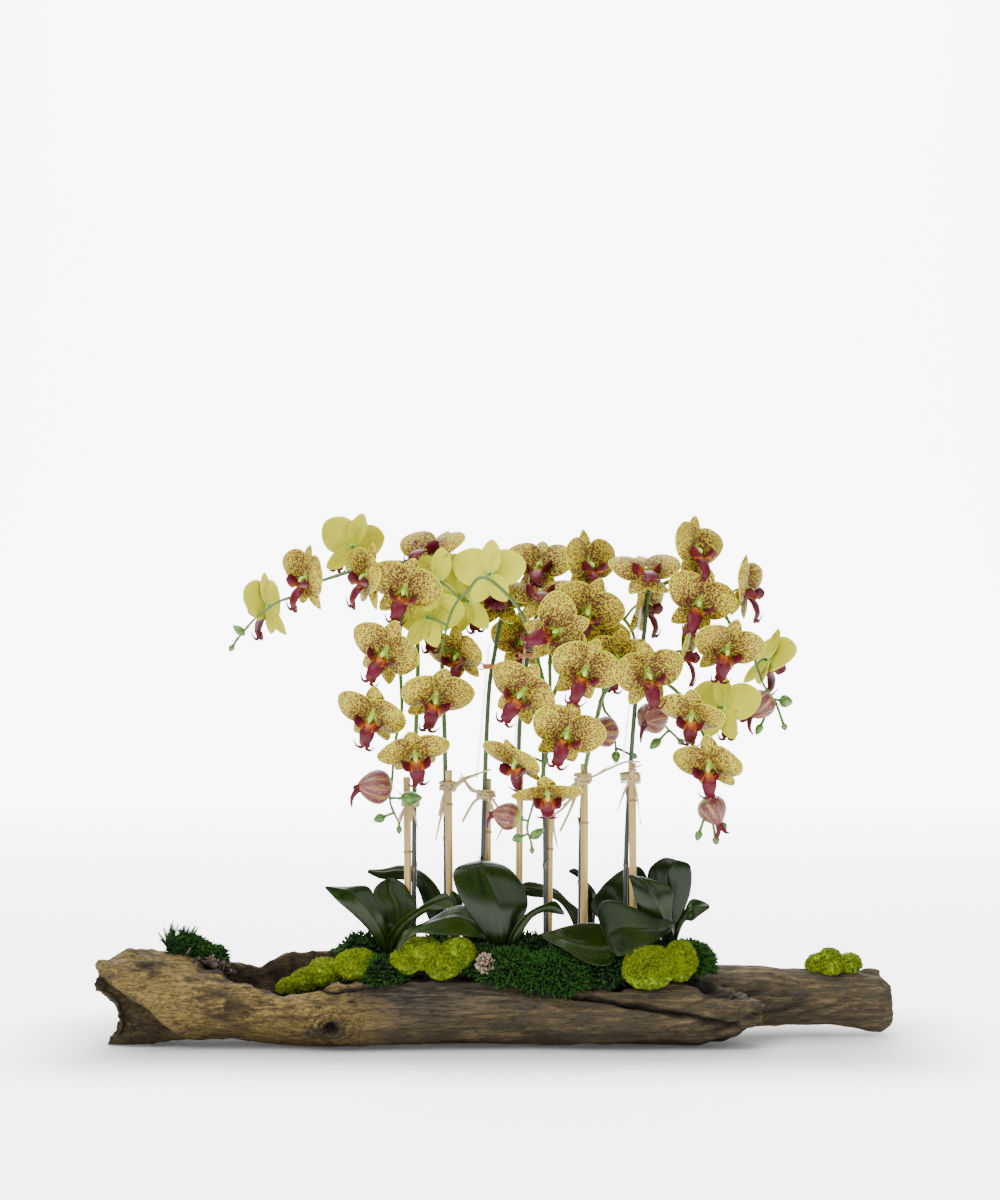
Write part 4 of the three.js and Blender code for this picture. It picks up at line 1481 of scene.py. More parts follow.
FILL_MOUNDS = (
    (-126, -48, 88, 26, 20, 20), (-104, 6, 98, 34, 30, 23), (-58, 12, 102, 32, 30, 25),
    (-12, -38, 98, 24, 22, 22), (-8, 12, 104, 34, 30, 27), (44, -14, 104, 34, 26, 27),
    (92, -22, 98, 30, 24, 25), (132, -44, 88, 26, 22, 26), (130, 6, 102, 32, 28, 27),
    (172, 2, 102, 30, 28, 28), (208, -12, 96, 24, 26, 25), (-156, -8, 98, 30, 28, 31),
)
CUSHION_MOUNDS = {
    "cushion_moss_hollow_end": (
        (-241, -14, 67, 15, 14, 10), (-222, -18, 75, 19, 18, 15), (-198, -26, 87, 21, 20, 17),
    ),
    "cushion_moss_front": (
        (-82, -50, 113, 28, 19, 19), (-40, -50, 114, 22, 18, 18), (-58, -60, 101, 21, 15, 16),
        (-100, -56, 106, 18, 15, 15),
    ),
    "cushion_moss_limb": (
        (396, 46, 86, 11, 11, 10), (414, 51, 91, 14, 12, 13), (413, 37, 82, 12, 10, 9),
        (437, 46, 86, 13, 12, 12),
    ),
}


@dataclass
class MossBed:
    """Every clump of moss on the log."""

    cushions: tuple = (
        ("cushion_moss_hollow_end", 6200, 2.5, 1),
        ("cushion_moss_left", 4600, 2.5, 2),
        ("cushion_moss_front", 8000, 2.5, 3),
        ("cushion_moss_back", 3600, 2.5, 4),
        ("cushion_moss_ball", 7000, 2.5, 5),
        ("cushion_moss_ball_small", 4000, 2.5, 6),
        ("cushion_moss_limb", 3200, 2.2, 7),
    )
    sheets: tuple = (
        ("sheet_moss_root_end", 1900, 9.0, 21, ((-388, 4, 112, 34), (-370, 6, 118, 26))),
        ("sheet_moss_front", 6400, 12.0, 22, ()),
        ("sheet_moss_right", 3000, 11.0, 23, ()),
    )

    def build(self) -> None:
        """Grows every clump."""
        lime = LIME_MOSS.make(MossKind.CUSHION)
        dark = DARK_MOSS.make(MossKind.SHEET)
        for node, sprigs, reach, seed in self.cushions:
            mounds = CUSHION_MOUNDS.get(node, ())
            Moss(node, MossKind.CUSHION, sprigs, reach, seed, mounds=mounds).build(lime)
            LOG.info("grew %s", node)
        for node, sprigs, reach, seed, extra in self.sheets:
            Moss(node, MossKind.SHEET, sprigs, reach, seed, extra=extra).build(dark)
            LOG.info("grew %s", node)
        fill = Moss("moss_fill", MossKind.SHEET, 8400, 11.0, 24, mounds=FILL_MOUNDS, packed=False)
        fill.build(dark)


# ---- leaves ----------------------------------------------------------------------------------


def shell(
    skin: Skin,
    middle: np.ndarray,
    thickness: float,
    across: np.ndarray,
    along: np.ndarray,
    slots: tuple[int, int],
    marks: dict[str, np.ndarray],
    cells: tuple[Cell | None, Cell | None] = (None, None),
) -> None:
    """Adds a thin closed blade: two sheets that meet at its edge.

    Args:
        skin: the piece's skin.
        middle: the blade's middle surface, in millimetres, in rows along it.
        thickness: its thickness in millimetres.
        across: each point's place across it, from -1 to 1.
        along: each point's place along it, from 0 to 1.
        slots: the materials of its face and its back.
        marks: what its points carry.
        cells: squares on the flat chart for its face and its back.
    """
    normal = np.cross(np.gradient(middle, axis=1), np.gradient(middle, axis=0))
    normal /= np.linalg.norm(normal, axis=2, keepdims=True) + 1e-9
    fade = (1 - np.abs(across) ** 6) * (1 - along**10) * (1 - (1 - along) ** 14)
    lift = normal * (fade * thickness / 2)[..., None]
    skin.sheet(placed(middle + lift), slots[0], marks, cell=cells[0])
    skin.sheet(placed(middle - lift), slots[1], marks, flip=True, cell=cells[1])


@dataclass(frozen=True)
class LeafRow:
    """One leaf: its fold, and for each crossing from foot to tip the places of both edges."""

    fold: float
    edges: tuple


LEAF_ROWS = (
    LeafRow(0.16, (
        (-128, -21, 82, -120, -19, 82), (-132, -27, 113, -120, -24, 115),
        (-148, -36, 140, -125, -32, 149), (-168, -42, 161, -136, -34, 174),
        (-183, -46, 174, -147, -30, 192), (-192, -46, 184, -173, -34, 192),
        (-199, -43, 192, -196, -41, 193),
    )),
    LeafRow(-0.14, (
        (-122, -16, 82, -114, -12, 82), (-125, -20, 115, -113, -14, 116),
        (-129, -24, 146, -96, -12, 142), (-138, -24, 169, -88, -6, 164),
        (-143, -22, 183, -97, -1, 181), (-136, -16, 193, -106, 1, 192),
        (-123, -7, 199, -120, -5, 199),
    )),
    LeafRow(0.12, (
        (-69, 44, 82, -59, 44, 82), (-68, 38, 120, -54, 38, 123), (-81, 37, 150, -57, 42, 157),
        (-88, 37, 172, -64, 46, 179), (-97, 36, 187, -83, 50, 199),
        (-117, 34, 191, -109, 46, 208), (-135, 32, 192, -131, 40, 204),
        (-153, 29, 201, -152, 31, 204),
    )),
    LeafRow(-0.2, (
        (-124, -33, 82, -116, -31, 82), (-126, -36, 122, -117, -34, 119),
        (-120, -48, 141, -105, -42, 137), (-106, -56, 157, -90, -48, 152),
        (-87, -58, 169, -78, -46, 161), (-70, -54, 180, -63, -46, 165),
        (-56, -46, 186, -49, -42, 167), (-49, -40, 180, -47, -40, 176),
    )),
    LeafRow(0.1, (
        (-13, -28, 81, -11, -20, 83), (-9, -28, 122, -7, -20, 133),
        (-23, -48, 132, -14, -19, 153), (-47, -60, 136, -34, -16, 168),
        (-70, -66, 139, -55, -32, 163), (-87, -70, 141, -79, -52, 151),
        (-99, -70, 132, -103, -64, 143), (-112, -69, 118, -113, -67, 121),
    )),
    LeafRow(0.2, (
        (4, -33, 82, 16, -31, 82), (4, -34, 117, 22, -32, 119), (-9, -38, 132, 31, -34, 141),
        (-28, -44, 160, 44, -30, 165), (-41, -44, 182, 43, -26, 183),
        (-48, -40, 205, 31, -20, 203), (-41, -32, 215, 15, -14, 215),
        (-16, -13, 220, -12, -11, 220),
    )),
    LeafRow(-0.2, (
        (16, -35, 83, 24, -33, 81), (19, -40, 124, 27, -38, 120), (31, -50, 151, 37, -42, 139),
        (47, -56, 166, 48, -46, 156), (62, -56, 174, 63, -44, 162), (76, -50, 177, 75, -40, 159),
        (87, -43, 161, 87, -41, 158),
    )),
    LeafRow(0.1, (
        (96, 44, 82, 104, 44, 82), (101, 42, 120, 115, 42, 122), (95, 42, 144, 110, 44, 149),
        (84, 44, 160, 94, 48, 163), (73, 45, 166, 80, 53, 177), (59, 45, 167, 62, 54, 184),
        (44, 45, 169, 44, 52, 187), (29, 44, 177, 29, 46, 181),
    )),
    LeafRow(0.15, (
        (112, 56, 82, 120, 56, 82), (115, 54, 122, 125, 54, 123), (115, 50, 153, 128, 56, 157),
        (113, 47, 174, 128, 54, 173), (107, 45, 189, 117, 48, 187), (99, 42, 196, 104, 44, 203),
        (92, 40, 200, 94, 40, 203),
    )),
    LeafRow(-0.1, (
        (179, 23, 81, 189, 25, 83), (179, 26, 122, 197, 30, 129), (153, 24, 137, 198, 42, 164),
        (131, 20, 142, 193, 48, 190), (119, 19, 156, 181, 48, 207), (121, 22, 167, 158, 43, 202),
        (134, 30, 183, 136, 32, 186),
    )),
    LeafRow(0.14, (
        (199, 18, 82, 209, 18, 82), (211, 14, 124, 227, 14, 129), (205, 18, 151, 233, 12, 156),
        (194, 23, 175, 240, 10, 175), (187, 25, 192, 243, 9, 194), (191, 23, 208, 242, 9, 208),
        (208, 19, 220, 238, 10, 214), (225, 14, 217, 229, 12, 216),
    )),
    LeafRow(0.12, (
        (190, -3, 82, 198, -1, 82), (204, -4, 129, 217, -2, 133), (189, -15, 153, 217, -6, 154),
        (177, -22, 164, 218, -8, 173), (170, -24, 178, 215, -8, 188),
        (166, -24, 193, 197, -11, 196), (163, -21, 204, 167, -19, 204),
    )),
    LeafRow(0.14, (
        (209, 13, 84, 215, 11, 84), (219, 8, 130, 226, 6, 128), (230, 11, 152, 234, 7, 144),
        (240, 15, 170, 241, 2, 144), (254, 18, 168, 250, 4, 151), (264, 12, 163, 264, 10, 160),
    )),
    LeafRow(-0.12, (
        (203, -19, 80, 205, -13, 84), (217, -20, 135, 219, -16, 142),
        (202, -42, 131, 196, -24, 153), (184, -58, 124, 172, -31, 165),
        (170, -66, 118, 148, -38, 177), (158, -70, 114, 131, -48, 177),
        (150, -72, 113, 124, -60, 163), (141, -73, 121, 139, -73, 124),
    )),
    LeafRow(-0.1, (
        (146, -34, 81, 146, -26, 83), (148, -44, 118, 149, -26, 139),
        (144, -64, 104, 135, -28, 146), (128, -74, 101, 119, -32, 150),
        (107, -76, 108, 99, -40, 149), (86, -74, 122, 80, -50, 145),
        (59, -61, 135, 58, -59, 137),
    )),
    LeafRow(0.12, (
        (-34, -5, 82, -26, -7, 82), (-36, -2, 133, -26, -4, 136), (-44, -2, 157, -33, -4, 161),
        (-51, -2, 172, -38, -4, 176), (-49, -3, 182, -46, -3, 183),
    )),
)


@dataclass
class Leaf:
    """One strap leaf: a creased blade between two curved edges."""

    number: int
    row: LeafRow
    rows: int = 30
    columns: int = 15
    thickness: float = 2.0
    wave: float = 1.3

    def build(self, materials: list[bpy.types.Material]) -> bpy.types.Object:
        """Stretches the blade between its edges and dresses it.

        Args:
            materials: its face and its back.

        Returns:
            The piece.
        """
        table = np.array(self.row.edges, dtype=float)
        left = self._edge(table[:, :3])[:, None, :]
        right = self._edge(table[:, 3:])[:, None, :]
        across = np.tile(np.linspace(-1, 1, self.columns), (self.rows, 1))
        along = np.tile(np.linspace(0, 1, self.rows)[:, None], (1, self.columns))
        half = np.linalg.norm(right - left, axis=2) / 2
        beside = (right - left) / (2 * half[..., None])
        forward = np.gradient((left + right)[:, 0] / 2, axis=0)[:, None, :]
        up = np.cross(forward, beside)
        up /= np.linalg.norm(up, axis=2, keepdims=True)
        bowl = self.row.fold * half * (np.abs(across) ** 1.3 - 1)
        ripple = np.sin(6.5 * along + self.number + 1.4 * across) * across**2
        crease = -1.1 * np.exp(-((across * half / 1.8) ** 2)) * np.sign(self.row.fold)
        lift = bowl + self.wave * ripple * np.sin(3.1 * along) + crease
        middle = (left + right) / 2 + across[..., None] * half[..., None] * beside
        middle = middle + lift[..., None] * up
        width = float(half.max())
        lay = np.stack(
            [across * width * MM, along * 0.15, np.full(across.shape, self.number * 0.37)], axis=-1
        )
        marks = {
            "lay": lay,
            "tint": np.full(across.shape, (self.number * 0.37) % 1.0),
            "midrib": np.exp(-((across * half / 1.4) ** 2)) * (1 - along) ** 0.3,
            "rim": smoothstep(0.93, 1.0, np.abs(across)),
        }
        skin = Skin()
        shell(skin, middle, self.thickness, across, along, (0, 1), marks)
        piece = skin.make(f"leaf_blade_{self.number}", materials, weld=0.00012, finer=1)
        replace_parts(piece, f"leaf_{self.number}")
        return piece

    def _edge(self, knots: np.ndarray) -> np.ndarray:
        """Runs a smooth curve along one edge.

        Args:
            knots: the edge's places where the crossings meet it.

        Returns:
            Points on the edge, evenly spread between its crossings.
        """
        padded = np.vstack([2 * knots[0] - knots[1], knots, 2 * knots[-1] - knots[-2]])
        where = np.linspace(0, len(knots) - 1, self.rows)
        first = np.minimum(where.astype(int), len(knots) - 2)
        t = (where - first)[:, None]
        a, b, c, d = (padded[first + k] for k in range(4))
        bend = (2 * a - 5 * b + 4 * c - d) * t**2 + (3 * b - a - 3 * c + d) * t**3
        return 0.5 * (2 * b + (c - a) * t + bend)


# ---- blooms ----------------------------------------------------------------------------------


@dataclass(frozen=True)
class Petal:
    """The shape of one petal: sizes in millimetres for a full-size bloom, angle in degrees."""

    angle: float
    length: float
    width: float
    peak: float
    fullness: float
    bow: float
    reflex: float
    curl: float
    skew: float = 0.0
    claw: float = 0.16


PETALS = (
    Petal(90, 41, 25, 0.95, 0.58, 3.5, -3.0, -5.0),
    Petal(-58, 39, 24, 0.88, 0.58, 2.0, -6.0, -5.0, 0.10),
    Petal(238, 39, 24, 0.88, 0.58, 2.0, -6.0, -5.0, -0.10),
    Petal(20, 46, 47, 0.88, 0.52, 8.0, 3.0, -8.0, -0.10),
    Petal(160, 46, 47, 0.88, 0.52, 8.0, 3.0, -8.0, 0.10),
)


def facing(azimuth: float, elevation: float, roll: float) -> np.ndarray:
    """Turns a bloom to face a way.

    Args:
        azimuth: degrees that it faces right.
        elevation: degrees that it faces up.
        roll: degrees that it rolls.

    Returns:
        The turn as a 3 by 3 array.
    """
    turn = (
        Matrix.Rotation(math.radians(azimuth), 3, "Z")
        @ Matrix.Rotation(math.radians(-elevation), 3, "X")
        @ Matrix.Rotation(math.radians(roll), 3, "Y")
    )
    return np.array(turn)


@dataclass
class Bloom:
    """One open moth orchid bloom."""

    row: tuple
    seed: int
    rows: int = 13
    columns: int = 11
    thickness: float = 0.9
    lip: float = 1.32
    petals: tuple[Petal, ...] = PETALS
    turn: np.ndarray = field(init=False)
    place: np.ndarray = field(init=False)
    size: float = field(init=False)
    skin: Skin = field(init=False)

    def build(self, name: str, node: str, materials: list[bpy.types.Material]) -> np.ndarray:
        """Builds the bloom's petals, lip and column as one piece.

        Args:
            name: the piece's name.
            node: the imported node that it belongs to.
            materials: petal face, petal back, lip and column.

        Returns:
            The bloom's turn and where its stem joins, as a 4 by 3 array.
        """
        x, y, z, azimuth, elevation, roll, self.size = self.row
        chance = np.random.default_rng(1000 + self.seed)
        self.turn = facing(azimuth, elevation, roll)
        self.place = np.array([x, y, z], dtype=float)
        self.skin = Skin()
        for k, petal in enumerate(self.petals):
            self._petal(petal, k, chance)
        self._lip()
        self._column()
        piece = self.skin.make(name, materials, weld=0.00008, finer=1)
        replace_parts(piece, node)
        join = self._out(np.array([[0.0, 2.0, 0.0]]))
        return np.vstack([self.turn, join])

    def _out(self, points: np.ndarray) -> np.ndarray:
        """Turns places in the bloom into table places."""
        return (points * self.size) @ self.turn.T + self.place

    def _petal(self, petal: Petal, index: int, chance: np.random.Generator) -> None:
        """Adds one petal with its own small differences.

        Args:
            petal: its shape.
            index: which petal it is.
            chance: its small differences.
        """
        angle = math.radians(petal.angle + chance.normal(0, 3.0))
        axis = np.array([math.cos(angle), 0.0, math.sin(angle)])
        beside = np.array([math.sin(angle), 0.0, -math.cos(angle)])
        front = np.array([0.0, -1.0, 0.0])
        length = petal.length * chance.uniform(0.95, 1.03)
        width = petal.width * chance.uniform(0.94, 1.05)
        share = 0.5 - 0.5 * np.cos(np.pi * np.linspace(0.0, 1.0, self.rows))
        along, across = np.meshgrid(share, np.linspace(-1, 1, self.columns), indexing="ij")
        half = width / 2 * (
            petal.claw * (1 - along)
            + np.sin(np.pi * np.clip(along, 0, 1) ** petal.peak) ** petal.fullness
        )
        phase = chance.uniform(0, 6.28)
        ruffle = 1.5 * np.sin(phase + 4.2 * across + 5.0 * along) * np.abs(across) ** 2 * along
        bend = petal.reflex * chance.uniform(0.3, 1.8) * along**2
        height = petal.bow * np.sin(np.pi * along * 0.9) + bend
        height = height + petal.curl * chance.uniform(0.4, 1.6) * across**2 * np.sin(np.pi * along)
        height = height + ruffle - 0.5 * np.exp(-((across * 6) ** 2)) * (1 - along)
        lean = petal.skew * length * along * (1.25 - along)
        middle = (
            (1.6 + along * length)[..., None] * axis
            + (across * half + lean)[..., None] * beside
            + (height + (1.2 if index < 3 else 2.4) - 1.5)[..., None] * front
        )
        lay = np.stack(
            [across * half, along * length, np.full(across.shape, 31.7 * (5 * self.seed + index))],
            axis=-1,
        )
        rim = 1 - (1 - across**2) * (1 - along**7)
        marks = {"lay": lay, "along": along, "rim": rim, "gold": np.zeros(across.shape)}
        cells = (self._cell(index, True), self._cell(index, False))
        shell(self.skin, self._out(middle), self.thickness, across, along, (0, 1), marks, cells)

    @staticmethod
    def _cell(index: int, large: bool) -> Cell:
        """Gives one square of the flat chart: five large ones, and small ones in what is left.

        Args:
            index: which square of its size.
            large: whether it is a large one.

        Returns:
            Its left, bottom and side.
        """
        if large:
            return ((index % 3) / 3, (index // 3) / 3, 1 / 3)
        corner = ((2 / 3, 1 / 3), (0.0, 2 / 3), (1 / 3, 2 / 3), (2 / 3, 2 / 3))[index // 4]
        return (corner[0] + (index % 2) / 6, corner[1] + (index % 4 // 2) / 6, 1 / 6)

    def _flap(
        self, surface: tuple[np.ndarray, np.ndarray, np.ndarray], gold: np.ndarray, index: int
    ) -> None:
        """Adds one flap of the lip.

        Args:
            surface: its middle surface in the bloom's own frame, and its places across and along.
            gold: how golden each point is.
            index: its squares on the flat chart.
        """
        middle, across, along = surface
        lay = np.stack([middle[..., 0], middle[..., 2], np.full(across.shape, self.seed * 7.3)], -1)
        marks = {"lay": lay, "along": along, "rim": across**2, "gold": gold}
        cells = (self._cell(index, False), self._cell(index + 1, False))
        shell(self.skin, self._out(middle), 2.2, across, along, (2, 2), marks, cells)

    def _lip(self) -> None:
        """Adds the lip: two upright side flaps and a hanging tongue with curled tips."""
        along, across = blade_grid(11, 7)
        steps = np.linspace(0, 1, 11)
        half = np.interp(along, [0, 0.2, 0.45, 0.74, 0.88, 1], [4.4, 7.4, 8.6, 5.6, 7.4, 1.6])
        sag = np.interp(along, steps, -4.0 - 24.0 * steps)
        out = np.interp(along, [0, 0.35, 0.7, 1], [4.0, 13.0, 15.5, 13.5])
        keel = -5.0 * across**2 * (1 - 0.7 * along)
        tongue = np.stack([across * half, -(out + keel), sag], axis=-1) * self.lip
        gold = np.clip(0.85 - 3.6 * along, 0, 1)
        self._flap((tongue, across, along), gold, 5)
        for k, sign in enumerate((-1, 1)):
            self._side_flap(sign, 7 + 2 * k)
            turn = np.linspace(0, 1, 9)
            curl = np.stack(
                [
                    sign * (1.2 + 11.0 * turn - 2.0 * turn**2),
                    -(13.5 - 3.0 * turn + 5.0 * turn**2),
                    -27.0 - 2.4 * np.sin(np.pi * turn) + 6.5 * turn**3,
                ],
                axis=1,
            )
            radii = (2.9 - 2.3 * turn) * self.size * MM
            marks = {"along": 0.85 + 0.15 * turn, "rim": turn * 0, "gold": turn * 0}
            path = placed(self._out(curl * self.lip))
            self.skin.tube(path, radii, 6, 2, marks, cell=self._cell(11 + k, False))

    def _side_flap(self, sign: int, index: int) -> None:
        """Adds one rounded side flap that curves up round the column.

        Args:
            sign: -1 for the left one and 1 for the right one.
            index: its squares on the flat chart.
        """
        along, across = blade_grid(8, 7)
        half = 9.4 * np.sin(np.pi * np.clip(0.16 + 0.84 * along, 0, 1)) ** 0.55
        rise = along * 15.5
        flare = 3.6 + 11.0 * np.sin(along * 1.9)
        flap = np.stack(
            [
                sign * flare,
                -(9.5 + across * half * 0.85 + 1.8 * along),
                -9.5 + rise * 0.85 - 1.6 * across**2,
            ],
            axis=-1,
        )
        flap = flap * (1 + 0.5 * (self.lip - 1))
        if sign > 0:
            flap = flap[:, ::-1]
        gold = np.clip(0.55 - 2.2 * along, 0, 1)
        self._flap((flap, across, along), gold, index)

    def _column(self) -> None:
        """Adds the small hooded column."""
        path = spline([(0, 2.0, 0), (0, -4.0, 0.8), (0, -8.5, -0.6), (0, -11.0, -3.6)], 9)
        radii = np.array([4.6, 4.2, 3.5, 3.1, 3.1, 3.2, 3.0, 2.2, 1.1]) * self.size * MM
        steps = np.linspace(0, 1, 9)
        marks = {"along": steps, "rim": steps * 0, "gold": steps * 0}
        self.skin.tube(placed(self._out(path)), radii, 10, 3, marks, cell=self._cell(13, False))


# ---- sprays ----------------------------------------------------------------------------------


@dataclass(frozen=True)
class SprayRow:
    """One spray's places in millimetres.

    A bloom's row is its throat, the degrees that it faces right and up, its roll and its size.
    A bud's row is its centre, length and width.
    """

    stalk: tuple
    routes: tuple
    blooms: tuple
    half_open: tuple
    buds: tuple


SPRAY_ROWS = (
    SprayRow(
        stalk=((-94, 10, 78), (-93, 9, 300), (-89, 6, 440), (-89, 6, 471)),
        routes=(
            (
                (-89, 6, 471), (-92, 3, 506), (-102, -3, 520), (-110, -6, 496), (-109, -8, 440),
                (-108, -8, 395), (-116, -8, 360), (-119, -8, 320), (-122, -8, 290),
                (-111, -8, 264),
            ),
        ),
        blooms=(
            (-126, -34, 470, -22, -12, 28, 1), (-141, -34, 395, -25, -28, 20, 1),
            (-68, -44, 418, 14, -32, 12, 1), (-91, -50, 351, 14, -45, -12, 1),
        ),
        half_open=((-140, -16, 309, 44, 40),),
        buds=((-96, -14, 295, 27, 17), (-135, -8, 270, 15, 11), (-111, -8, 256, 10, 7)),
    ),
    SprayRow(
        stalk=((-55, 24, 78), (-56, 22, 300), (-58, 20, 400), (-64, 18, 540)),
        routes=(
            (
                (-64, 18, 540), (-78, 16, 566), (-110, 14, 577), (-150, 10, 572), (-182, 6, 562),
                (-208, 2, 553), (-230, -2, 538), (-255, -4, 530), (-283, -6, 510),
                (-304, -6, 486),
            ),
        ),
        blooms=(
            (-270, 14, 524, -115, -8, 0, 1), (-220, -24, 558, -56, -4, 12, 1),
            (-170, 36, 596, -155, 15, -15, 1), (-148, -12, 560, -62, 0, 12, 1),
            (-104, -32, 545, -4, -20, 18, 1), (-74, 14, 590, -35, 50, 0, 1),
        ),
        half_open=(),
        buds=((-303, -6, 496, 18, 10), (-312, -6, 474, 9, 7)),
    ),
    SprayRow(
        stalk=((-12, 0, 78), (-10, 0, 250), (-4, 4, 412), (4, 10, 470), (10, 14, 505)),
        routes=(
            (
                (10, 14, 505), (24, 24, 526), (50, 36, 540), (84, 44, 530), (112, 46, 505),
                (130, 40, 470), (134, 32, 430), (136, 26, 400), (146, 22, 385), (150, 18, 352),
            ),
        ),
        blooms=(
            (10, 22, 530, -5, 55, 0, 1), (58, 52, 570, -10, 35, 0, 1),
            (-8, 50, 560, -110, 20, 0, 1), (37, 50, 480, 0, -5, 0, 0.9),
            (121, 4, 482, 0, 0, 10, 1),
        ),
        half_open=((134, 8, 373, 40, 36),),
        buds=((150, 14, 342, 15, 11), (172, 14, 343, 9, 8)),
    ),
    SprayRow(
        stalk=((36, 34, 78), (33, 34, 355), (45, 34, 470), (54, 32, 512)),
        routes=(
            (
                (54, 32, 512), (72, 28, 526), (98, 22, 534), (130, 24, 528), (160, 26, 508),
                (174, 24, 480), (178, 22, 440), (190, 18, 408), (200, 16, 392), (214, 14, 374),
            ),
        ),
        blooms=(
            (58, 2, 536, 5, 60, 0, 1), (115, 12, 574, 45, 5, 5, 1), (114, -20, 518, 5, -5, 18, 1),
            (184, 26, 526, 65, -5, 0, 1), (150, -18, 461, -8, -25, 10, 0.95),
        ),
        half_open=((192, 2, 390, 42, 38),),
        buds=((197, 10, 358, 18, 11), (229, 14, 360, 10, 8)),
    ),
    SprayRow(
        stalk=((65, -12, 78), (64, -12, 250), (62, -16, 330), (64, -20, 400)),
        routes=(
            (
                (64, -20, 400), (66, -26, 420), (61, -30, 438), (50, -34, 478), (35, -37, 518),
                (14, -39, 543), (-4, -39, 558), (-16, -37, 558), (-28, -35, 544), (-44, -34, 526),
                (-54, -34, 497), (-62, -34, 464),
            ),
            (
                (64, -20, 400), (82, -36, 440), (87, -48, 474), (80, -54, 492), (70, -57, 470),
                (69, -57, 430), (68, -57, 395), (65, -55, 350), (57, -53, 316), (46, -50, 280),
                (42, -50, 262), (47, -50, 246),
            ),
        ),
        blooms=(
            (-2, -14, 563, 180, -10, 0, 1), (-62, -12, 554, -165, 0, 0, 1),
            (-76, -16, 510, 160, -15, 0, 1), (-28, -2, 530, 170, 0, 10, 1),
            (-40, -6, 466, -35, -20, 0, 0.9), (76, -82, 497, -10, 0, 70, 1),
            (108, -86, 451, 5, -18, 22, 1), (36, -78, 424, -24, -14, 32, 1),
            (87, -82, 377, 4, -16, 20, 1), (30, -74, 344, -48, -42, 12, 0.95),
            (66, -78, 308, 0, -60, 0, 0.95),
        ),
        half_open=((18, -46, 277, 36, 32),),
        buds=((54, -50, 257, 20, 11), (30, -50, 251, 13, 11), (48, -50, 236, 8, 6)),
    ),
    SprayRow(
        stalk=((107, 20, 78), (108, 18, 250), (112, 10, 320), (120, -2, 366), (127, -10, 395)),
        routes=(
            (
                (127, -10, 395), (134, -18, 420), (150, -26, 437), (180, -30, 444),
                (205, -30, 436), (232, -30, 410), (250, -32, 376), (257, -32, 352),
                (260, -32, 312), (259, -32, 290),
            ),
        ),
        blooms=(
            (183, -68, 445, 20, -6, -6, 1), (229, -6, 470, 75, -10, 4, 1),
            (277, -8, 403, 155, -5, 0, 1), (237, -62, 398, -24, -42, 12, 0.95),
            (258, -64, 339, -28, -35, 5, 1),
        ),
        half_open=((263, -34, 282, 38, 34),),
        buds=((276, -34, 263, 12, 9), (246, -34, 252, 13, 9), (267, -34, 246, 10, 9)),
    ),
    SprayRow(
        stalk=((160, 8, 78), (163, 8, 250), (173, 6, 411), (183, 4, 490), (188, 4, 540)),
        routes=(
            (
                (188, 4, 540), (205, 6, 550), (223, 8, 556), (250, 10, 550), (270, 12, 530),
                (284, 12, 508), (294, 10, 490), (310, 10, 474), (320, 8, 450), (328, 6, 428),
                (340, 6, 412),
            ),
        ),
        blooms=(
            (184, -8, 563, 8, 55, 0, 1), (243, -14, 591, 45, 5, 5, 1),
            (246, -28, 529, 6, -4, 20, 1), (304, -2, 545, 65, -5, 0, 1),
            (279, -26, 475, 10, -32, 12, 1), (334, 26, 458, 115, -25, 0, 1),
        ),
        half_open=((322, 0, 405, 40, 34),),
        buds=((354, 4, 410, 17, 15), (321, 2, 376, 15, 9), (352, 2, 379, 9, 8)),
    ),
)


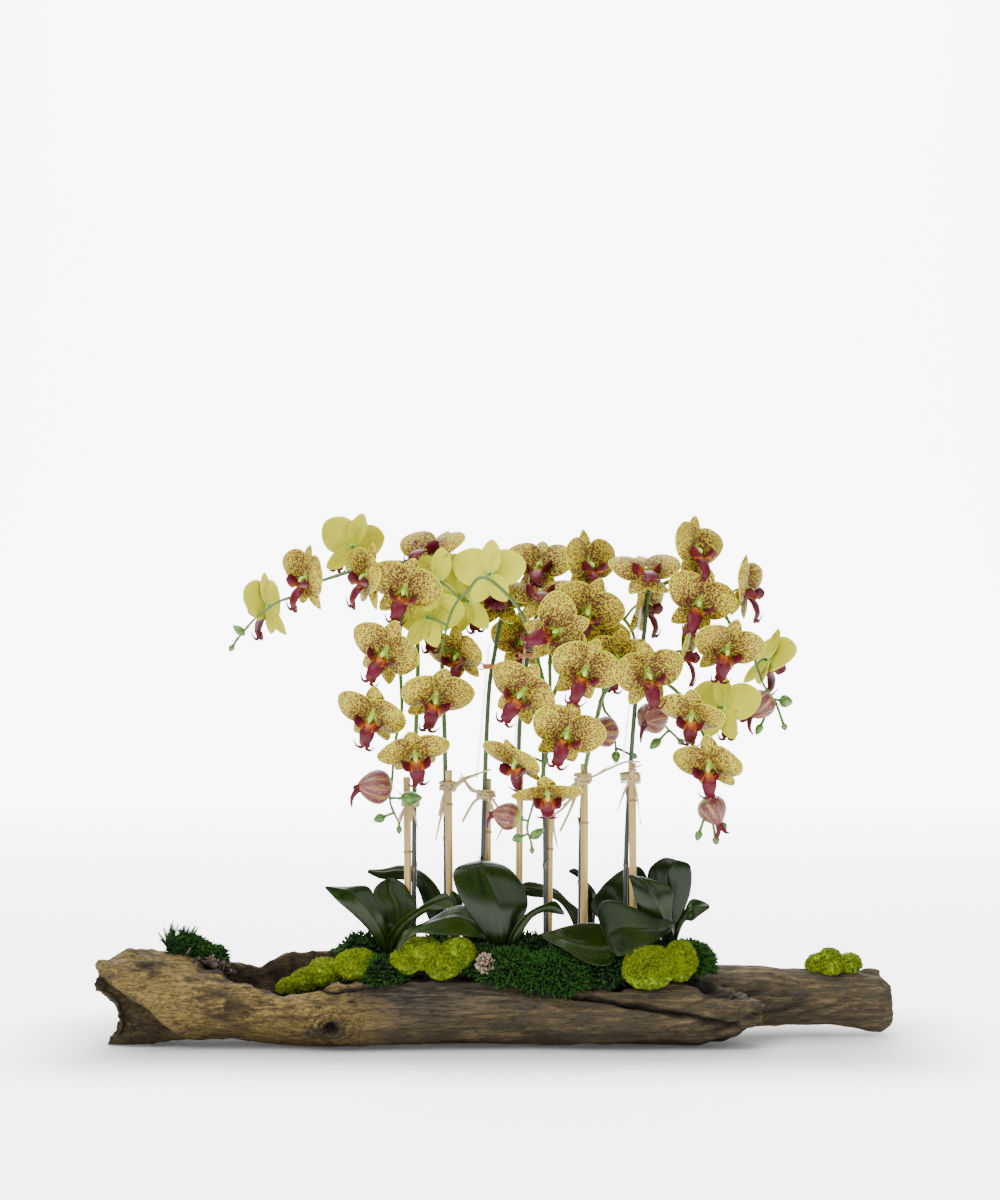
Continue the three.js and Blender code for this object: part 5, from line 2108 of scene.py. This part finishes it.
@dataclass
class Spray:
    """One flower spray: its arching stem, flower stems, blooms and buds."""

    number: int
    row: SprayRow
    stem_radius: float = 2.9
    tip_radius: float = 1.3
    flower_stem_radius: float = 1.6
    samples: int = 70
    paths: list[np.ndarray] = field(init=False)
    skin: Skin = field(init=False)

    def build(self, finishes: dict[str, list[bpy.types.Material]]) -> None:
        """Builds the stem piece and one piece for each bloom.

        Args:
            finishes: the materials of the blooms and of the stems.
        """
        node = f"bloom_spray_{self.number}"
        self.skin = Skin()
        self.paths = [spline(route, self.samples) for route in self.row.routes]
        for path in self.paths:
            self._stem(path)
        for k, row in enumerate(self.row.blooms):
            name = f"spray_{self.number}_bloom_{k + 1}"
            stand = Bloom(row, 17 * self.number + k).build(name, node, finishes["bloom"])
            self._flower_stem(stand[3], stand[:3] @ np.array([0.0, 1.0, 0.0]))
        for k, (x, y, z, length, width) in enumerate(self.row.half_open):
            self._swollen(np.array([x, y, z]), length, width, 1, 5, k)
        for k, (x, y, z, length, width) in enumerate(self.row.buds):
            self._swollen(np.array([x, y, z]), length, width, 2, 3, k)
        piece = self.skin.make(f"spray_{self.number}_stems", finishes["stem"])
        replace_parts(piece, node)

    def _stem(self, path: np.ndarray) -> None:
        """Adds the arching stem, with small joints that change its direction a little.

        Args:
            path: its points in millimetres.
        """
        count = len(path)
        steps = np.linspace(0, 1, count)
        radii = self.stem_radius + (self.tip_radius - self.stem_radius) * steps
        joints = np.exp(-(((steps * 9) % 1.0 - 0.5) ** 2) / 0.006)
        wander = 0.9 * np.sin(steps * 9 * math.pi) * (1 - 0.3 * steps)
        path = path + np.array([0.3, 0.6, 0.2]) * wander[:, None]
        marks = {"fresh": 0.72 + 0.28 * steps, "scar": joints * 0.35, "along": steps}
        self.skin.tube(placed(path), (radii + 0.55 * joints) * MM, 9, 0, marks)

    def _nearest(self, point: np.ndarray) -> np.ndarray:
        """Finds the place on the spray's stems nearest to a point."""
        every = np.vstack(self.paths)
        return every[np.argmin(np.linalg.norm(every - point, axis=1))]

    def _flower_stem(self, end: np.ndarray, away: np.ndarray) -> None:
        """Adds the curved stem of one flower.

        Args:
            end: where it meets the flower.
            away: the way out of the flower's back.
        """
        start = self._nearest(end)
        reach = max(6.0, float(np.linalg.norm(end - start)))
        t = np.linspace(0, 1, 12)[:, None]
        lift = np.array([0.0, 0.0, 0.10 * reach])
        first = start + (end - start) * 0.33 + lift
        second = end + away * reach * 0.36
        path = (
            start * (1 - t) ** 3 + 3 * first * t * (1 - t) ** 2 + 3 * second * t**2 * (1 - t)
            + end * t**3
        )
        radii = self.flower_stem_radius * (1.0 + 0.35 * np.abs(2 * t[:, 0] - 1) ** 4)
        marks = {"fresh": 0.85 + 0.15 * t[:, 0], "scar": t[:, 0] * 0, "along": t[:, 0]}
        self.skin.tube(placed(path), radii * MM, 8, 0, marks)

    def _swollen(
        self, centre: np.ndarray, length: float, width: float, slot: int, ribs: int, turn: int
    ) -> None:
        """Adds a bud or a half-open bloom: a ribbed pod on its own short stem.

        Args:
            centre: its centre.
            length: its length.
            width: its width.
            slot: its material.
            ribs: how many ribs run along it.
            turn: its number, which turns its ribs.
        """
        start = self._nearest(centre)
        out = centre - start
        if np.linalg.norm(out) < 2.0:
            out = np.array([0.0, 0.0, -1.0])
        axis = out / np.linalg.norm(out)
        side = np.cross(axis, (0.31, 0.87, 0.17))
        side /= np.linalg.norm(side)
        third = np.cross(axis, side)
        rows, columns = 20, 30
        t, angle = np.meshgrid(
            np.linspace(0, 1, rows), np.linspace(0, 2 * np.pi, columns, endpoint=False),
            indexing="ij",
        )
        swell = np.sin(np.pi * t ** (0.80 if slot == 1 else 0.74)) ** 0.75 + 0.05
        phase = angle * ribs / 2 + turn
        groove = np.abs(np.sin(phase))
        ridge = 1 - smoothstep(0.0, 0.09, np.abs(np.cos(phase)))
        edge = 1 - smoothstep(0.0, 0.06, groove)
        depth = (0.10 if slot == 1 else 0.07) * np.sin(np.pi * t)
        radius = width / 2 * swell * (1 - depth * (1 - groove**0.5)) + 0.5 * ridge * swell
        ring = np.cos(angle)[..., None] * side + np.sin(angle)[..., None] * third
        grid = centre + (t - 0.5)[..., None] * length * axis + radius[..., None] * ring
        lay = np.stack([angle * width / 2, t * length, np.full(t.shape, turn * 9.7)], axis=-1)
        marks = {
            "lay": lay,
            "along": t,
            "ridge": np.maximum(ridge * 0.85, edge),
            "fresh": np.ones(t.shape),
            "scar": np.zeros(t.shape),
        }
        base = self.skin.count
        self.skin.sheet(placed(grid), slot, marks, wrap=True)
        self.skin.cap(base, rows, columns, slot)
        self._flower_stem(centre - axis * length * 0.47, -axis)
        if slot == 1:
            self._peeping_lip(centre + axis * length * 0.34, axis, side, width)

    def _peeping_lip(
        self, start: np.ndarray, axis: np.ndarray, side: np.ndarray, width: float
    ) -> None:
        """Adds the two curled tips of the lip that show below a half-open bloom.

        Args:
            start: a place inside the bloom's far end.
            axis: the way the bloom points.
            side: a way across it.
            width: the bloom's width.
        """
        share = np.linspace(0, 1, 10)
        t = share[:, None]
        down = np.array([0.0, 0.0, -1.0])
        for sign in (-1, 1):
            way = axis * 0.35 + down * 0.8 + side * sign * 0.35
            path = start + way * width * 0.40 * t + side * sign * width * 0.20 * t**2
            path = path + axis * width * 0.22 * np.sin(2.4 * t)
            radii = width * (0.125 - 0.10 * share) * MM
            marks = {"along": 0.5 + 0.5 * share, "gold": 0 * share, "fresh": 0 * share}
            self.skin.tube(placed(path), radii, 8, 3, marks, squash=0.7)


@dataclass
class Stalk:
    """The dark lower stem of a spray, with sheaths at its joints."""

    number: int
    points: tuple
    joints: tuple
    fresh: float
    turn_height: float = 302.0
    radius: float = 3.1

    def build(self, materials: list[bpy.types.Material]) -> bpy.types.Object:
        """Sweeps the stem and its sheaths.

        Args:
            materials: its finish.

        Returns:
            The piece.
        """
        count = 160
        path = spline(self.points, count)
        height = path[:, 2]
        swell = sum(np.exp(-(((height - joint) / 2.6) ** 2)) for joint in self.joints)
        fresh = smoothstep(self.turn_height - 22, self.turn_height + 16, height)
        marks = {
            "fresh": fresh * self.fresh,
            "scar": np.clip(swell, 0, 1) * 0.6,
            "along": np.linspace(0, 1, count),
        }
        skin = Skin()
        taper = 1 - 0.16 * np.linspace(0, 1, count)
        skin.tube(placed(path), (self.radius * taper + 0.85 * swell) * MM, 14, 0, marks)
        for k, joint in enumerate(self.joints):
            self._sheath(skin, path, joint, k)
        piece = skin.make(f"stalk_{self.number}", materials)
        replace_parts(piece, f"flower_stalk_{self.number}")
        return piece

    def _sheath(self, skin: Skin, path: np.ndarray, joint: float, index: int) -> None:
        """Adds a small pointed sheath that leans off the stem at a joint.

        Args:
            skin: the stalk's skin.
            path: the stalk's points.
            joint: the joint's height.
            index: which joint it is.
        """
        at = path[np.argmin(np.abs(path[:, 2] - joint))]
        turn = 2.4 * index + 1.1 * self.number
        along, across = blade_grid(8, 7)
        reach = self.radius + 0.5 + 1.8 * along**2
        angle = turn + across * 1.35 * (1 - along) ** 0.8
        middle = np.stack(
            [
                at[0] + np.cos(angle) * reach,
                at[1] + np.sin(angle) * reach,
                joint + 8.5 * along,
            ],
            axis=-1,
        )
        marks = {
            "fresh": np.full(along.shape, 0.35 * self.fresh),
            "scar": 0.5 * along,
            "along": along,
            "lay": middle,
        }
        shell(skin, middle, 0.7, across, along, (0, 0), marks)


STALK_JOINTS = (
    ((208,), 1.0), ((146, 242), 0.55), ((217,), 0.42), ((236,), 0.42), ((214,), 0.32),
    ((190, 262), 1.0), ((212, 297, 456), 0.42),
)


# ---- supports --------------------------------------------------------------------------------


STAKE_ROWS = (
    (-102, 10, 318), (-51, 14, 326), (-4, 11, 316), (34, 25, 322), (69, -5, 296), (111, 10, 334),
    (169, -3, 336),
)
STAKE_RINGS = ((228,), (174, 285), (252,), (142, 268), (233,), (263,), (150, 291))


@dataclass
class Cane:
    """A bamboo stake with rings and a hollow cut top."""

    number: int
    row: tuple
    rings: tuple
    radius: float = 4.3
    foot: float = 78.0
    sides: int = 22

    def build(self, material: bpy.types.Material) -> bpy.types.Object:
        """Turns the cane's profile.

        Args:
            material: its finish.

        Returns:
            The piece.
        """
        x, y, top = self.row
        heights = np.unique(
            np.concatenate(
                [np.linspace(self.foot, top, 60)]
                + [np.linspace(ring - 6, ring + 6, 15) for ring in self.rings]
            )
        )
        bulge = sum(np.exp(-(((heights - ring) / 1.5) ** 2)) for ring in self.rings)
        groove = sum(np.exp(-(((heights - ring - 2.6) / 0.9) ** 2)) for ring in self.rings)
        radius = self.radius + 0.85 * bulge - 0.4 * groove
        profile = [(r, h, 0.75 * b) for r, h, b in zip(radius, heights, bulge)]
        bore = self.radius * 0.58
        profile += [(self.radius * 0.9, top + 0.1, 0.25), (bore, top - 0.2, 0.55)]
        profile += [(bore * 0.9, top - 6, 1.0), (0.3, top - 7, 1.0)]
        profile = [(0.3, self.foot - 0.1, 0.4)] + profile
        rows = np.array(profile)
        turn = np.linspace(0, 2 * np.pi, self.sides, endpoint=False)
        oval = 1 + 0.035 * np.cos(2 * turn + self.number)
        lean = 0.9 * np.sin((rows[:, 1] - self.foot) / 90 + self.number)
        grid = np.stack(
            [
                x + lean[:, None] + np.outer(rows[:, 0], np.cos(turn) * oval),
                y + 0.4 * lean[:, None] + np.outer(rows[:, 0], np.sin(turn) * oval),
                np.repeat(rows[:, 1:2], self.sides, axis=1),
            ],
            axis=-1,
        )
        skin = Skin()
        skin.sheet(placed(grid), 0, {"ring": np.repeat(rows[:, 2:3], self.sides, 1)}, wrap=True)
        skin.cap(0, len(rows), self.sides, 0)
        piece = skin.make(f"cane_{self.number}", [material])
        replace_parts(piece, f"bamboo_stake_{self.number}")
        return piece


ROD_ROWS = (
    (3, (-18, -4, 318), (-3, 0, 480)),
    (4, (26, 33, 340), (42, 31, 486)),
    (7, (158, 2, 340), (182, -4, 552)),
)
WIRE_ROWS = ((3, (-2, 4, 452), 8, 7), (4, (42, 33, 464), 8, 7), (7, (175, 2, 482), 9, 8))


@dataclass(frozen=True)
class RaffiaRow:
    """One raffia tie: its node, centre, half widths and loose ends."""

    node: str
    centre: tuple[float, float, float]
    half: tuple[float, float]
    ends: tuple


RAFFIA_ROWS = (
    RaffiaRow(
        "", (-98, 9, 290), (10, 7),
        (
            ((-102, -2, 292), (-108, -8, 298), (-121, -8, 312)),
            ((-102, -2, 288), (-108, -7, 270), (-113, -8, 255)),
        ),
    ),
    RaffiaRow(
        "raffia_tie_2", (-53, 18, 308), (9.5, 12.5),
        (
            ((-52, 3, 304), (-60, -3, 276), (-67, -7, 243)),
            ((-48, 4, 304), (-36, -3, 316), (-20, -5, 323), (0, -8, 330)),
            ((-50, 3, 300), (-38, -3, 312), (-28, -5, 318), (-17, -8, 322)),
        ),
    ),
    RaffiaRow(
        "raffia_tie_3", (-7, 3, 298), (10.5, 9.5),
        (
            ((-14, -9, 300), (-26, -11, 309), (-37, -13, 325)),
            ((-12, -9, 302), (-24, -9, 303), (-32, -12, 314), (-39, -12, 320)),
            ((0, -8, 294), (8, -13, 283), (15, -16, 268), (5, -18, 244)),
        ),
    ),
    RaffiaRow(
        "raffia_tie_6", (110, 12, 318), (9.5, 12.5),
        (
            ((106, -3, 318), (100, -8, 300), (86, -12, 284), (73, -14, 274)),
            ((112, -3, 316), (126, -6, 322), (142, -7, 330), (160, -8, 338), (178, -9, 338)),
            ((108, -3, 314), (98, -9, 290), (88, -12, 268), (82, -14, 255)),
            ((76, -14, 278), (74, -15, 262), (79, -15, 236)),
        ),
    ),
    RaffiaRow(
        "raffia_tie_7", (167, 5, 318), (11.5, 9.5),
        (
            ((170, -6, 316), (174, -9, 296), (179, -11, 262)),
            ((164, -6, 320), (170, -9, 330), (181, -10, 334)),
        ),
    ),
)


@dataclass
class Supports:
    """Canes, clear rods, wire ties and raffia ties."""

    rod_radius: float = 1.7
    wire_radius: float = 0.85
    wire_turns: int = 4
    strand: float = 1.55
    wraps: int = 6
    knot_loops: int = 4
    strays: int = 2

    def build(self) -> None:
        """Builds every support."""
        bamboo = BambooSkin().make()
        for k, (row, rings) in enumerate(zip(STAKE_ROWS, STAKE_RINGS)):
            Cane(k + 1, row, rings).build(bamboo)
        clear = ClearPlastic().make()
        for number, foot, top in ROD_ROWS:
            self._rod(number, np.array(foot, float), np.array(top, float), clear)
        wire = WireSkin().make()
        for number, centre, half_x, half_y in WIRE_ROWS:
            self._wire(number, centre, half_x, half_y, wire)
        raffia = RaffiaSkin().make()
        for k, row in enumerate(RAFFIA_ROWS):
            self._raffia(k, row, raffia)

    def _rod(
        self, number: int, foot: np.ndarray, top: np.ndarray, clear: bpy.types.Material
    ) -> None:
        """Builds one clear rod, rounded at its ends.

        Args:
            number: the number of its stalk.
            foot: its lower end.
            top: its upper end.
            clear: its finish.
        """
        steps = np.concatenate([[0, 0.004], np.linspace(0.01, 0.99, 12), [0.996, 1.0]])
        radii = np.full(len(steps), self.rod_radius)
        radii[[0, -1]] = 0.7
        radii[[1, -2]] = 1.35
        skin = Skin()
        skin.tube(placed(foot + steps[:, None] * (top - foot)), radii * MM, 14)
        piece = skin.make(f"rod_{number}", [clear])
        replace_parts(piece, f"clear_rod_{number}")

    def _wire(
        self, number: int, centre: tuple, half_x: float, half_y: float, wire: bpy.types.Material
    ) -> None:
        """Winds one wire tie round a stalk and its rod, with two short twisted ends.

        Args:
            number: the number of its stalk.
            centre: its centre.
            half_x: its half width along X.
            half_y: its half width along Y.
            wire: its finish.
        """
        turn = np.linspace(0, 2 * np.pi * self.wire_turns, 120)
        path = np.stack(
            [
                centre[0] + (half_x + 0.8) * np.cos(turn + 3.6),
                centre[1] + (half_y + 0.8) * np.sin(turn + 3.6),
                centre[2] - 2.6 + 5.2 * turn / turn[-1] + 0.4 * np.sin(turn * 0.7),
            ],
            axis=1,
        )
        skin = Skin()
        skin.tube(placed(path), self.wire_radius * MM, 7)
        for sign in (-1, 1):
            tail = np.linspace(0, 1, 10)
            start = path[0] if sign < 0 else path[-1]
            out = np.stack(
                [-7 * tail, -3 * tail + 0.9 * np.sin(9 * tail), sign * 1.6 * (1 - tail)], axis=1
            )
            skin.tube(placed(start + out), self.wire_radius * 0.9 * MM, 7)
        piece = skin.make(f"wire_{number}", [wire])
        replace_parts(piece, f"wire_tie_{number}")

    def _raffia(self, index: int, row: RaffiaRow, raffia: bpy.types.Material) -> None:
        """Winds one raffia tie, adds its knot and lays its loose ends.

        Args:
            index: which tie it is.
            row: its place, size and loose ends.
            raffia: its finish.
        """
        chance = np.random.default_rng(300 + index)
        skin = Skin()
        centre = np.array(row.centre, dtype=float)
        for wrap in range(self.wraps):
            turn = np.linspace(0, 2 * np.pi, 44)
            rise = (wrap - 3) * 2.0 + chance.normal(0, 0.5)
            tilt = chance.normal(0, 0.9)
            grow = 0.5 + 0.25 * (wrap % 3)
            path = centre + np.stack(
                [
                    (row.half[0] + grow) * np.cos(turn),
                    (row.half[1] + grow) * np.sin(turn),
                    rise + tilt * np.cos(turn + wrap),
                ],
                axis=1,
            )
            self._strand(skin, path, self.strand * chance.uniform(0.8, 1.15), chance)
        front = centre + np.array([0.0, -row.half[1] - 1.6, 0.0])
        for k in range(self.knot_loops):
            turn = np.linspace(0, 2 * np.pi, 20)
            loop = front + np.stack(
                [3.4 * np.cos(turn + k), 0.8 * np.sin(2 * turn), 2.6 * np.sin(turn + 0.6 * k)],
                axis=1,
            )
            self._strand(skin, loop, self.strand * 0.9, chance)
        stray = []
        for _ in range(self.strays):
            way = np.array([chance.normal(0, 1), -0.25, chance.normal(-0.9, 0.6)])
            way *= chance.uniform(16, 40) / np.linalg.norm(way)
            sag = np.array([0.0, 0.0, -chance.uniform(2, 9)])
            stray.append((front, front + way * 0.5 - sag * 0.4, front + way + sag))
        for end in (*row.ends, *stray):
            for copy in range(2):
                points = np.array(end, dtype=float)
                points[1:] += chance.normal(0, 1.3, (len(end) - 1, 3)) * (copy + 0.3)
                path = spline([tuple(point) for point in points], 26)
                if copy:
                    path = path[: int(26 * chance.uniform(0.55, 0.95))]
                self._strand(skin, path, self.strand * (1.0 - 0.25 * copy), chance)
        piece = skin.make(f"raffia_{index + 1}", [raffia])
        if row.node:
            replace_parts(piece, row.node)

    @staticmethod
    def _strand(
        skin: Skin, path: np.ndarray, width: float, chance: np.random.Generator
    ) -> None:
        """Adds one flat strand along a path.

        Args:
            skin: the tie's skin.
            path: its points in millimetres.
            width: its half width in millimetres.
            chance: its small differences.
        """
        tint = np.full(len(path), chance.uniform(0, 1))
        twist = chance.uniform(-0.35, 0.35)
        skin.tube(placed(path), width * MM, 6, 0, {"tint": tint}, squash=0.24, twist=twist)


# ---- small things in the trough --------------------------------------------------------------


@dataclass
class Litter:
    """Potting bark, the pale cone and a few dry scraps."""

    cone_centre: tuple[float, float, float] = (-6, -64, 104)
    cone_radius: float = 12.5
    scales: int = 150
    scraps: int = 34

    def build(self) -> None:
        """Builds the bark, the cone and the scraps."""
        mesh = node_copy("potting_mix", 2.6 * MM)
        points, normals = read_points(mesh)
        push = 2.6 * layered(points / 11.0, 3, 61) + 1.2 * lattice_noise(points / 3.4, 62) - 1.0
        write_points(mesh, points + normals * push[:, None])
        mesh.shade_smooth()
        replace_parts(show("potting_bark", mesh, [BarkMix().make()]), "potting_mix")
        self._cone()
        self._scraps()

    def _scale(
        self,
        skin: Skin,
        at: np.ndarray,
        out: np.ndarray,
        size: float,
        chance: np.random.Generator,
        curl: float,
    ) -> None:
        """Adds one dry curled scale.

        Args:
            skin: the piece's skin.
            at: where it grows from.
            out: the way it points.
            size: its length.
            chance: its small differences.
            curl: how strongly it curls.
        """
        side = np.cross(out, chance.normal(0, 1, 3))
        side /= np.linalg.norm(side) + 1e-9
        third = np.cross(side, out)
        along, across = blade_grid(6, 5)
        half = size * 0.42 * np.sin(np.pi * np.clip(0.2 + 0.8 * along, 0, 1)) ** 0.7
        middle = (
            at
            + (along * size)[..., None] * out
            + (across * half)[..., None] * side
            + (curl * size * (along**2 + 0.4 * across**2))[..., None] * third
        )
        marks = {"tip": 0.25 + 0.75 * along, "along": along}
        shell(skin, middle, 0.7, across, along, (0, 0), marks)

    def _cone(self) -> None:
        """Covers a small core with pale scales."""
        chance = np.random.default_rng(77)
        skin = Skin()
        centre = np.array(self.cone_centre, dtype=float)
        for k in range(self.scales):
            height = 1 - 2 * (k + 0.5) / self.scales
            turn = k * GOLDEN_TURN
            flat = math.sqrt(1 - height * height)
            out = np.array([flat * math.cos(turn), flat * math.sin(turn), height])
            at = centre + out * self.cone_radius * 0.55
            lean = out + chance.normal(0, 0.3, 3)
            lean /= np.linalg.norm(lean)
            self._scale(skin, at, lean, chance.uniform(5, 8.5), chance, chance.uniform(-0.5, 0.5))
        pale = DrySkin(rgb(0.018, 0.009, 0.005), rgb(0.36, 0.27, 0.18)).make("cone_scale")
        piece = skin.make("cone", [pale], weld=0.00008)
        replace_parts(piece, "pine_cone")

    def _scraps(self) -> None:
        """Drops dry scraps where the root end meets the trough."""
        chance = np.random.default_rng(78)
        skin = Skin()
        for _ in range(self.scraps):
            at = np.array([-334 + chance.normal(0, 9), -22 + chance.normal(0, 7), 94])
            at[2] -= (at[0] + 334) * 0.45
            out = np.array(
                [chance.normal(0, 1), chance.normal(-0.2, 0.8), chance.uniform(0.1, 0.9)]
            )
            out /= np.linalg.norm(out)
            self._scale(skin, at, out, chance.uniform(6, 15), chance, chance.uniform(-0.6, 0.6))
        brown = DrySkin(rgb(0.020, 0.008, 0.006), rgb(0.085, 0.046, 0.030)).make("dry_scrap")
        piece = skin.make("dry_scraps", [brown], weld=0.00008)


# ---- studio ----------------------------------------------------------------------------------


@dataclass
class Studio:
    """White sweep, soft lights and the camera."""

    eye: tuple[float, float, float] = (10, -3200, 600)
    pitch: float = 1.22
    lens: float = 80.0
    key_power: float = 165.0
    fill_power: float = 42.0
    top_power: float = 105.0
    sky: float = 0.34

    def build(self) -> None:
        """Sets up the camera, the sweep and the lights."""
        camera = bpy.data.cameras.new("camera")
        camera.lens = self.lens
        camera.sensor_width = 36.0
        camera.clip_end = 60.0
        holder = bpy.data.objects.new("camera", camera)
        holder.location = Vector(placed(np.array(self.eye)))
        holder.rotation_euler = (math.radians(90 - self.pitch), 0.0, 0.0)
        bpy.context.scene.collection.objects.link(holder)
        bpy.context.scene.camera = holder
        self._sweep()
        self._light("key", (-1.5, -1.7, 2.7), 2.4, self.key_power)
        self._light("fill", (2.0, -1.9, 1.6), 2.2, self.fill_power)
        self._light("top", (0.1, 0.5, 2.9), 2.6, self.top_power)
        world = bpy.data.worlds.new("studio")
        bpy.context.scene.world = world
        world.use_nodes = True
        background = world.node_tree.nodes["Background"]
        background.inputs["Color"].default_value = rgb(1.0, 1.0, 1.0)
        background.inputs["Strength"].default_value = self.sky

    @staticmethod
    def _sweep() -> None:
        """Builds the floor, which curves up far behind."""
        profile = [(y, 0.0) for y in (-9.0, -4.0, -2.0, -1.0, -0.7)]
        profile += [(y, 0.0) for y in np.linspace(-0.5, 0.5, 21)]
        profile += [(0.8, 0.0), (1.6, 0.0), (3.0, 0.0)]
        profile += [
            (3.0 + 2.4 * math.sin(a), 2.4 - 2.4 * math.cos(a)) for a in np.linspace(0.1, 1.57, 14)
        ]
        profile.append((5.4, 9.0))
        half = (0.15, 0.3, 0.4, 0.46, 0.52, 0.6, 0.7, 0.9, 1.4, 2.0, 2.5, 3.2, 9.0)
        columns = (*(-x for x in reversed(half)), 0.0, *half)
        grid = np.array([[(x, y, z) for x in columns] for y, z in profile])
        wide = len(columns)
        mesh = bpy.data.meshes.new("studio_floor")
        faces = [
            [wide * k + i, wide * k + i + 1, wide * (k + 1) + i + 1, wide * (k + 1) + i]
            for k in range(len(profile) - 1)
            for i in range(wide - 1)
        ]
        points = grid.reshape(-1, 3)
        mesh.from_pydata(points.tolist(), [], faces)
        beside = np.maximum(np.abs(points[:, 0]) - 0.42, 0)
        away = np.hypot(beside, np.maximum(np.abs(points[:, 1]) - 0.08, 0))
        far = smoothstep(1.2, 2.6, np.hypot(points[:, 0], np.minimum(points[:, 1], 0)))
        wall = smoothstep(1.0, 3.6, points[:, 1]) * (1 - smoothstep(2.0, 3.2, np.abs(points[:, 0])))
        # The glow is painted light: none within the log's footprint and rising over 0.23 m from it,
        # which paints a soft shadow round the log; the far floor glows less, the back wall more.
        near = smoothstep(0.0, 0.23, away) * (0.50 - 0.30 * far)
        carry(mesh, "glow", near + 0.50 * wall)
        mesh.materials.append(StudioFloor().make())
        mesh.shade_smooth()
        floor = bpy.data.objects.new("studio_floor", mesh)
        bpy.context.scene.collection.objects.link(floor)

    @staticmethod
    def _light(name: str, place: tuple[float, float, float], size: float, power: float) -> None:
        """Hangs one soft light that faces the flowers.

        Args:
            name: its name.
            place: where it hangs, in metres.
            size: the side of its square in metres.
            power: its power in watts.
        """
        lamp = bpy.data.lights.new(name, "AREA")
        lamp.size = size
        lamp.energy = power
        holder = bpy.data.objects.new(name, lamp)
        holder.location = place
        aim = Vector((0.0, 0.0, 0.3)) - Vector(place)
        holder.rotation_euler = aim.to_track_quat("-Z", "Y").to_euler()
        bpy.context.scene.collection.objects.link(holder)


def main() -> None:
    """Builds every sub-assembly in order."""
    logging.basicConfig(level=logging.INFO, format="%(message)s")
    Studio().build()
    Log().build()
    LOG.info("carved the log")
    MossBed().build()
    Litter().build()
    LOG.info("laid the bark, the cone and the scraps")
    leaf = [LeafSkin().make(False), LeafSkin().make(True)]
    for k, row in enumerate(LEAF_ROWS):
        Leaf(k + 1, row).build(leaf)
    LOG.info("grew the leaves")
    stalk = [StemSkin().make("lower_stem")]
    for k, (row, (joints, fresh)) in enumerate(zip(SPRAY_ROWS, STALK_JOINTS)):
        Stalk(k + 1, row.stalk, joints, fresh).build(stalk)
    Supports().build()
    LOG.info("set the stalks and their supports")
    petal = [PetalSkin().make(side) for side in PetalSide]
    lip = LipSkin().make()
    finishes = {
        "bloom": [*petal, lip, ColumnSkin().make()],
        "stem": [StemSkin().make("flower_stem"), StripedBud().make(), GreenBud().make(), lip],
    }
    for k, row in enumerate(SPRAY_ROWS):
        Spray(k + 1, row).build(finishes)
        LOG.info("opened spray %d with %d blooms", k + 1, len(row.blooms))


if __name__ == "__main__":
    main()
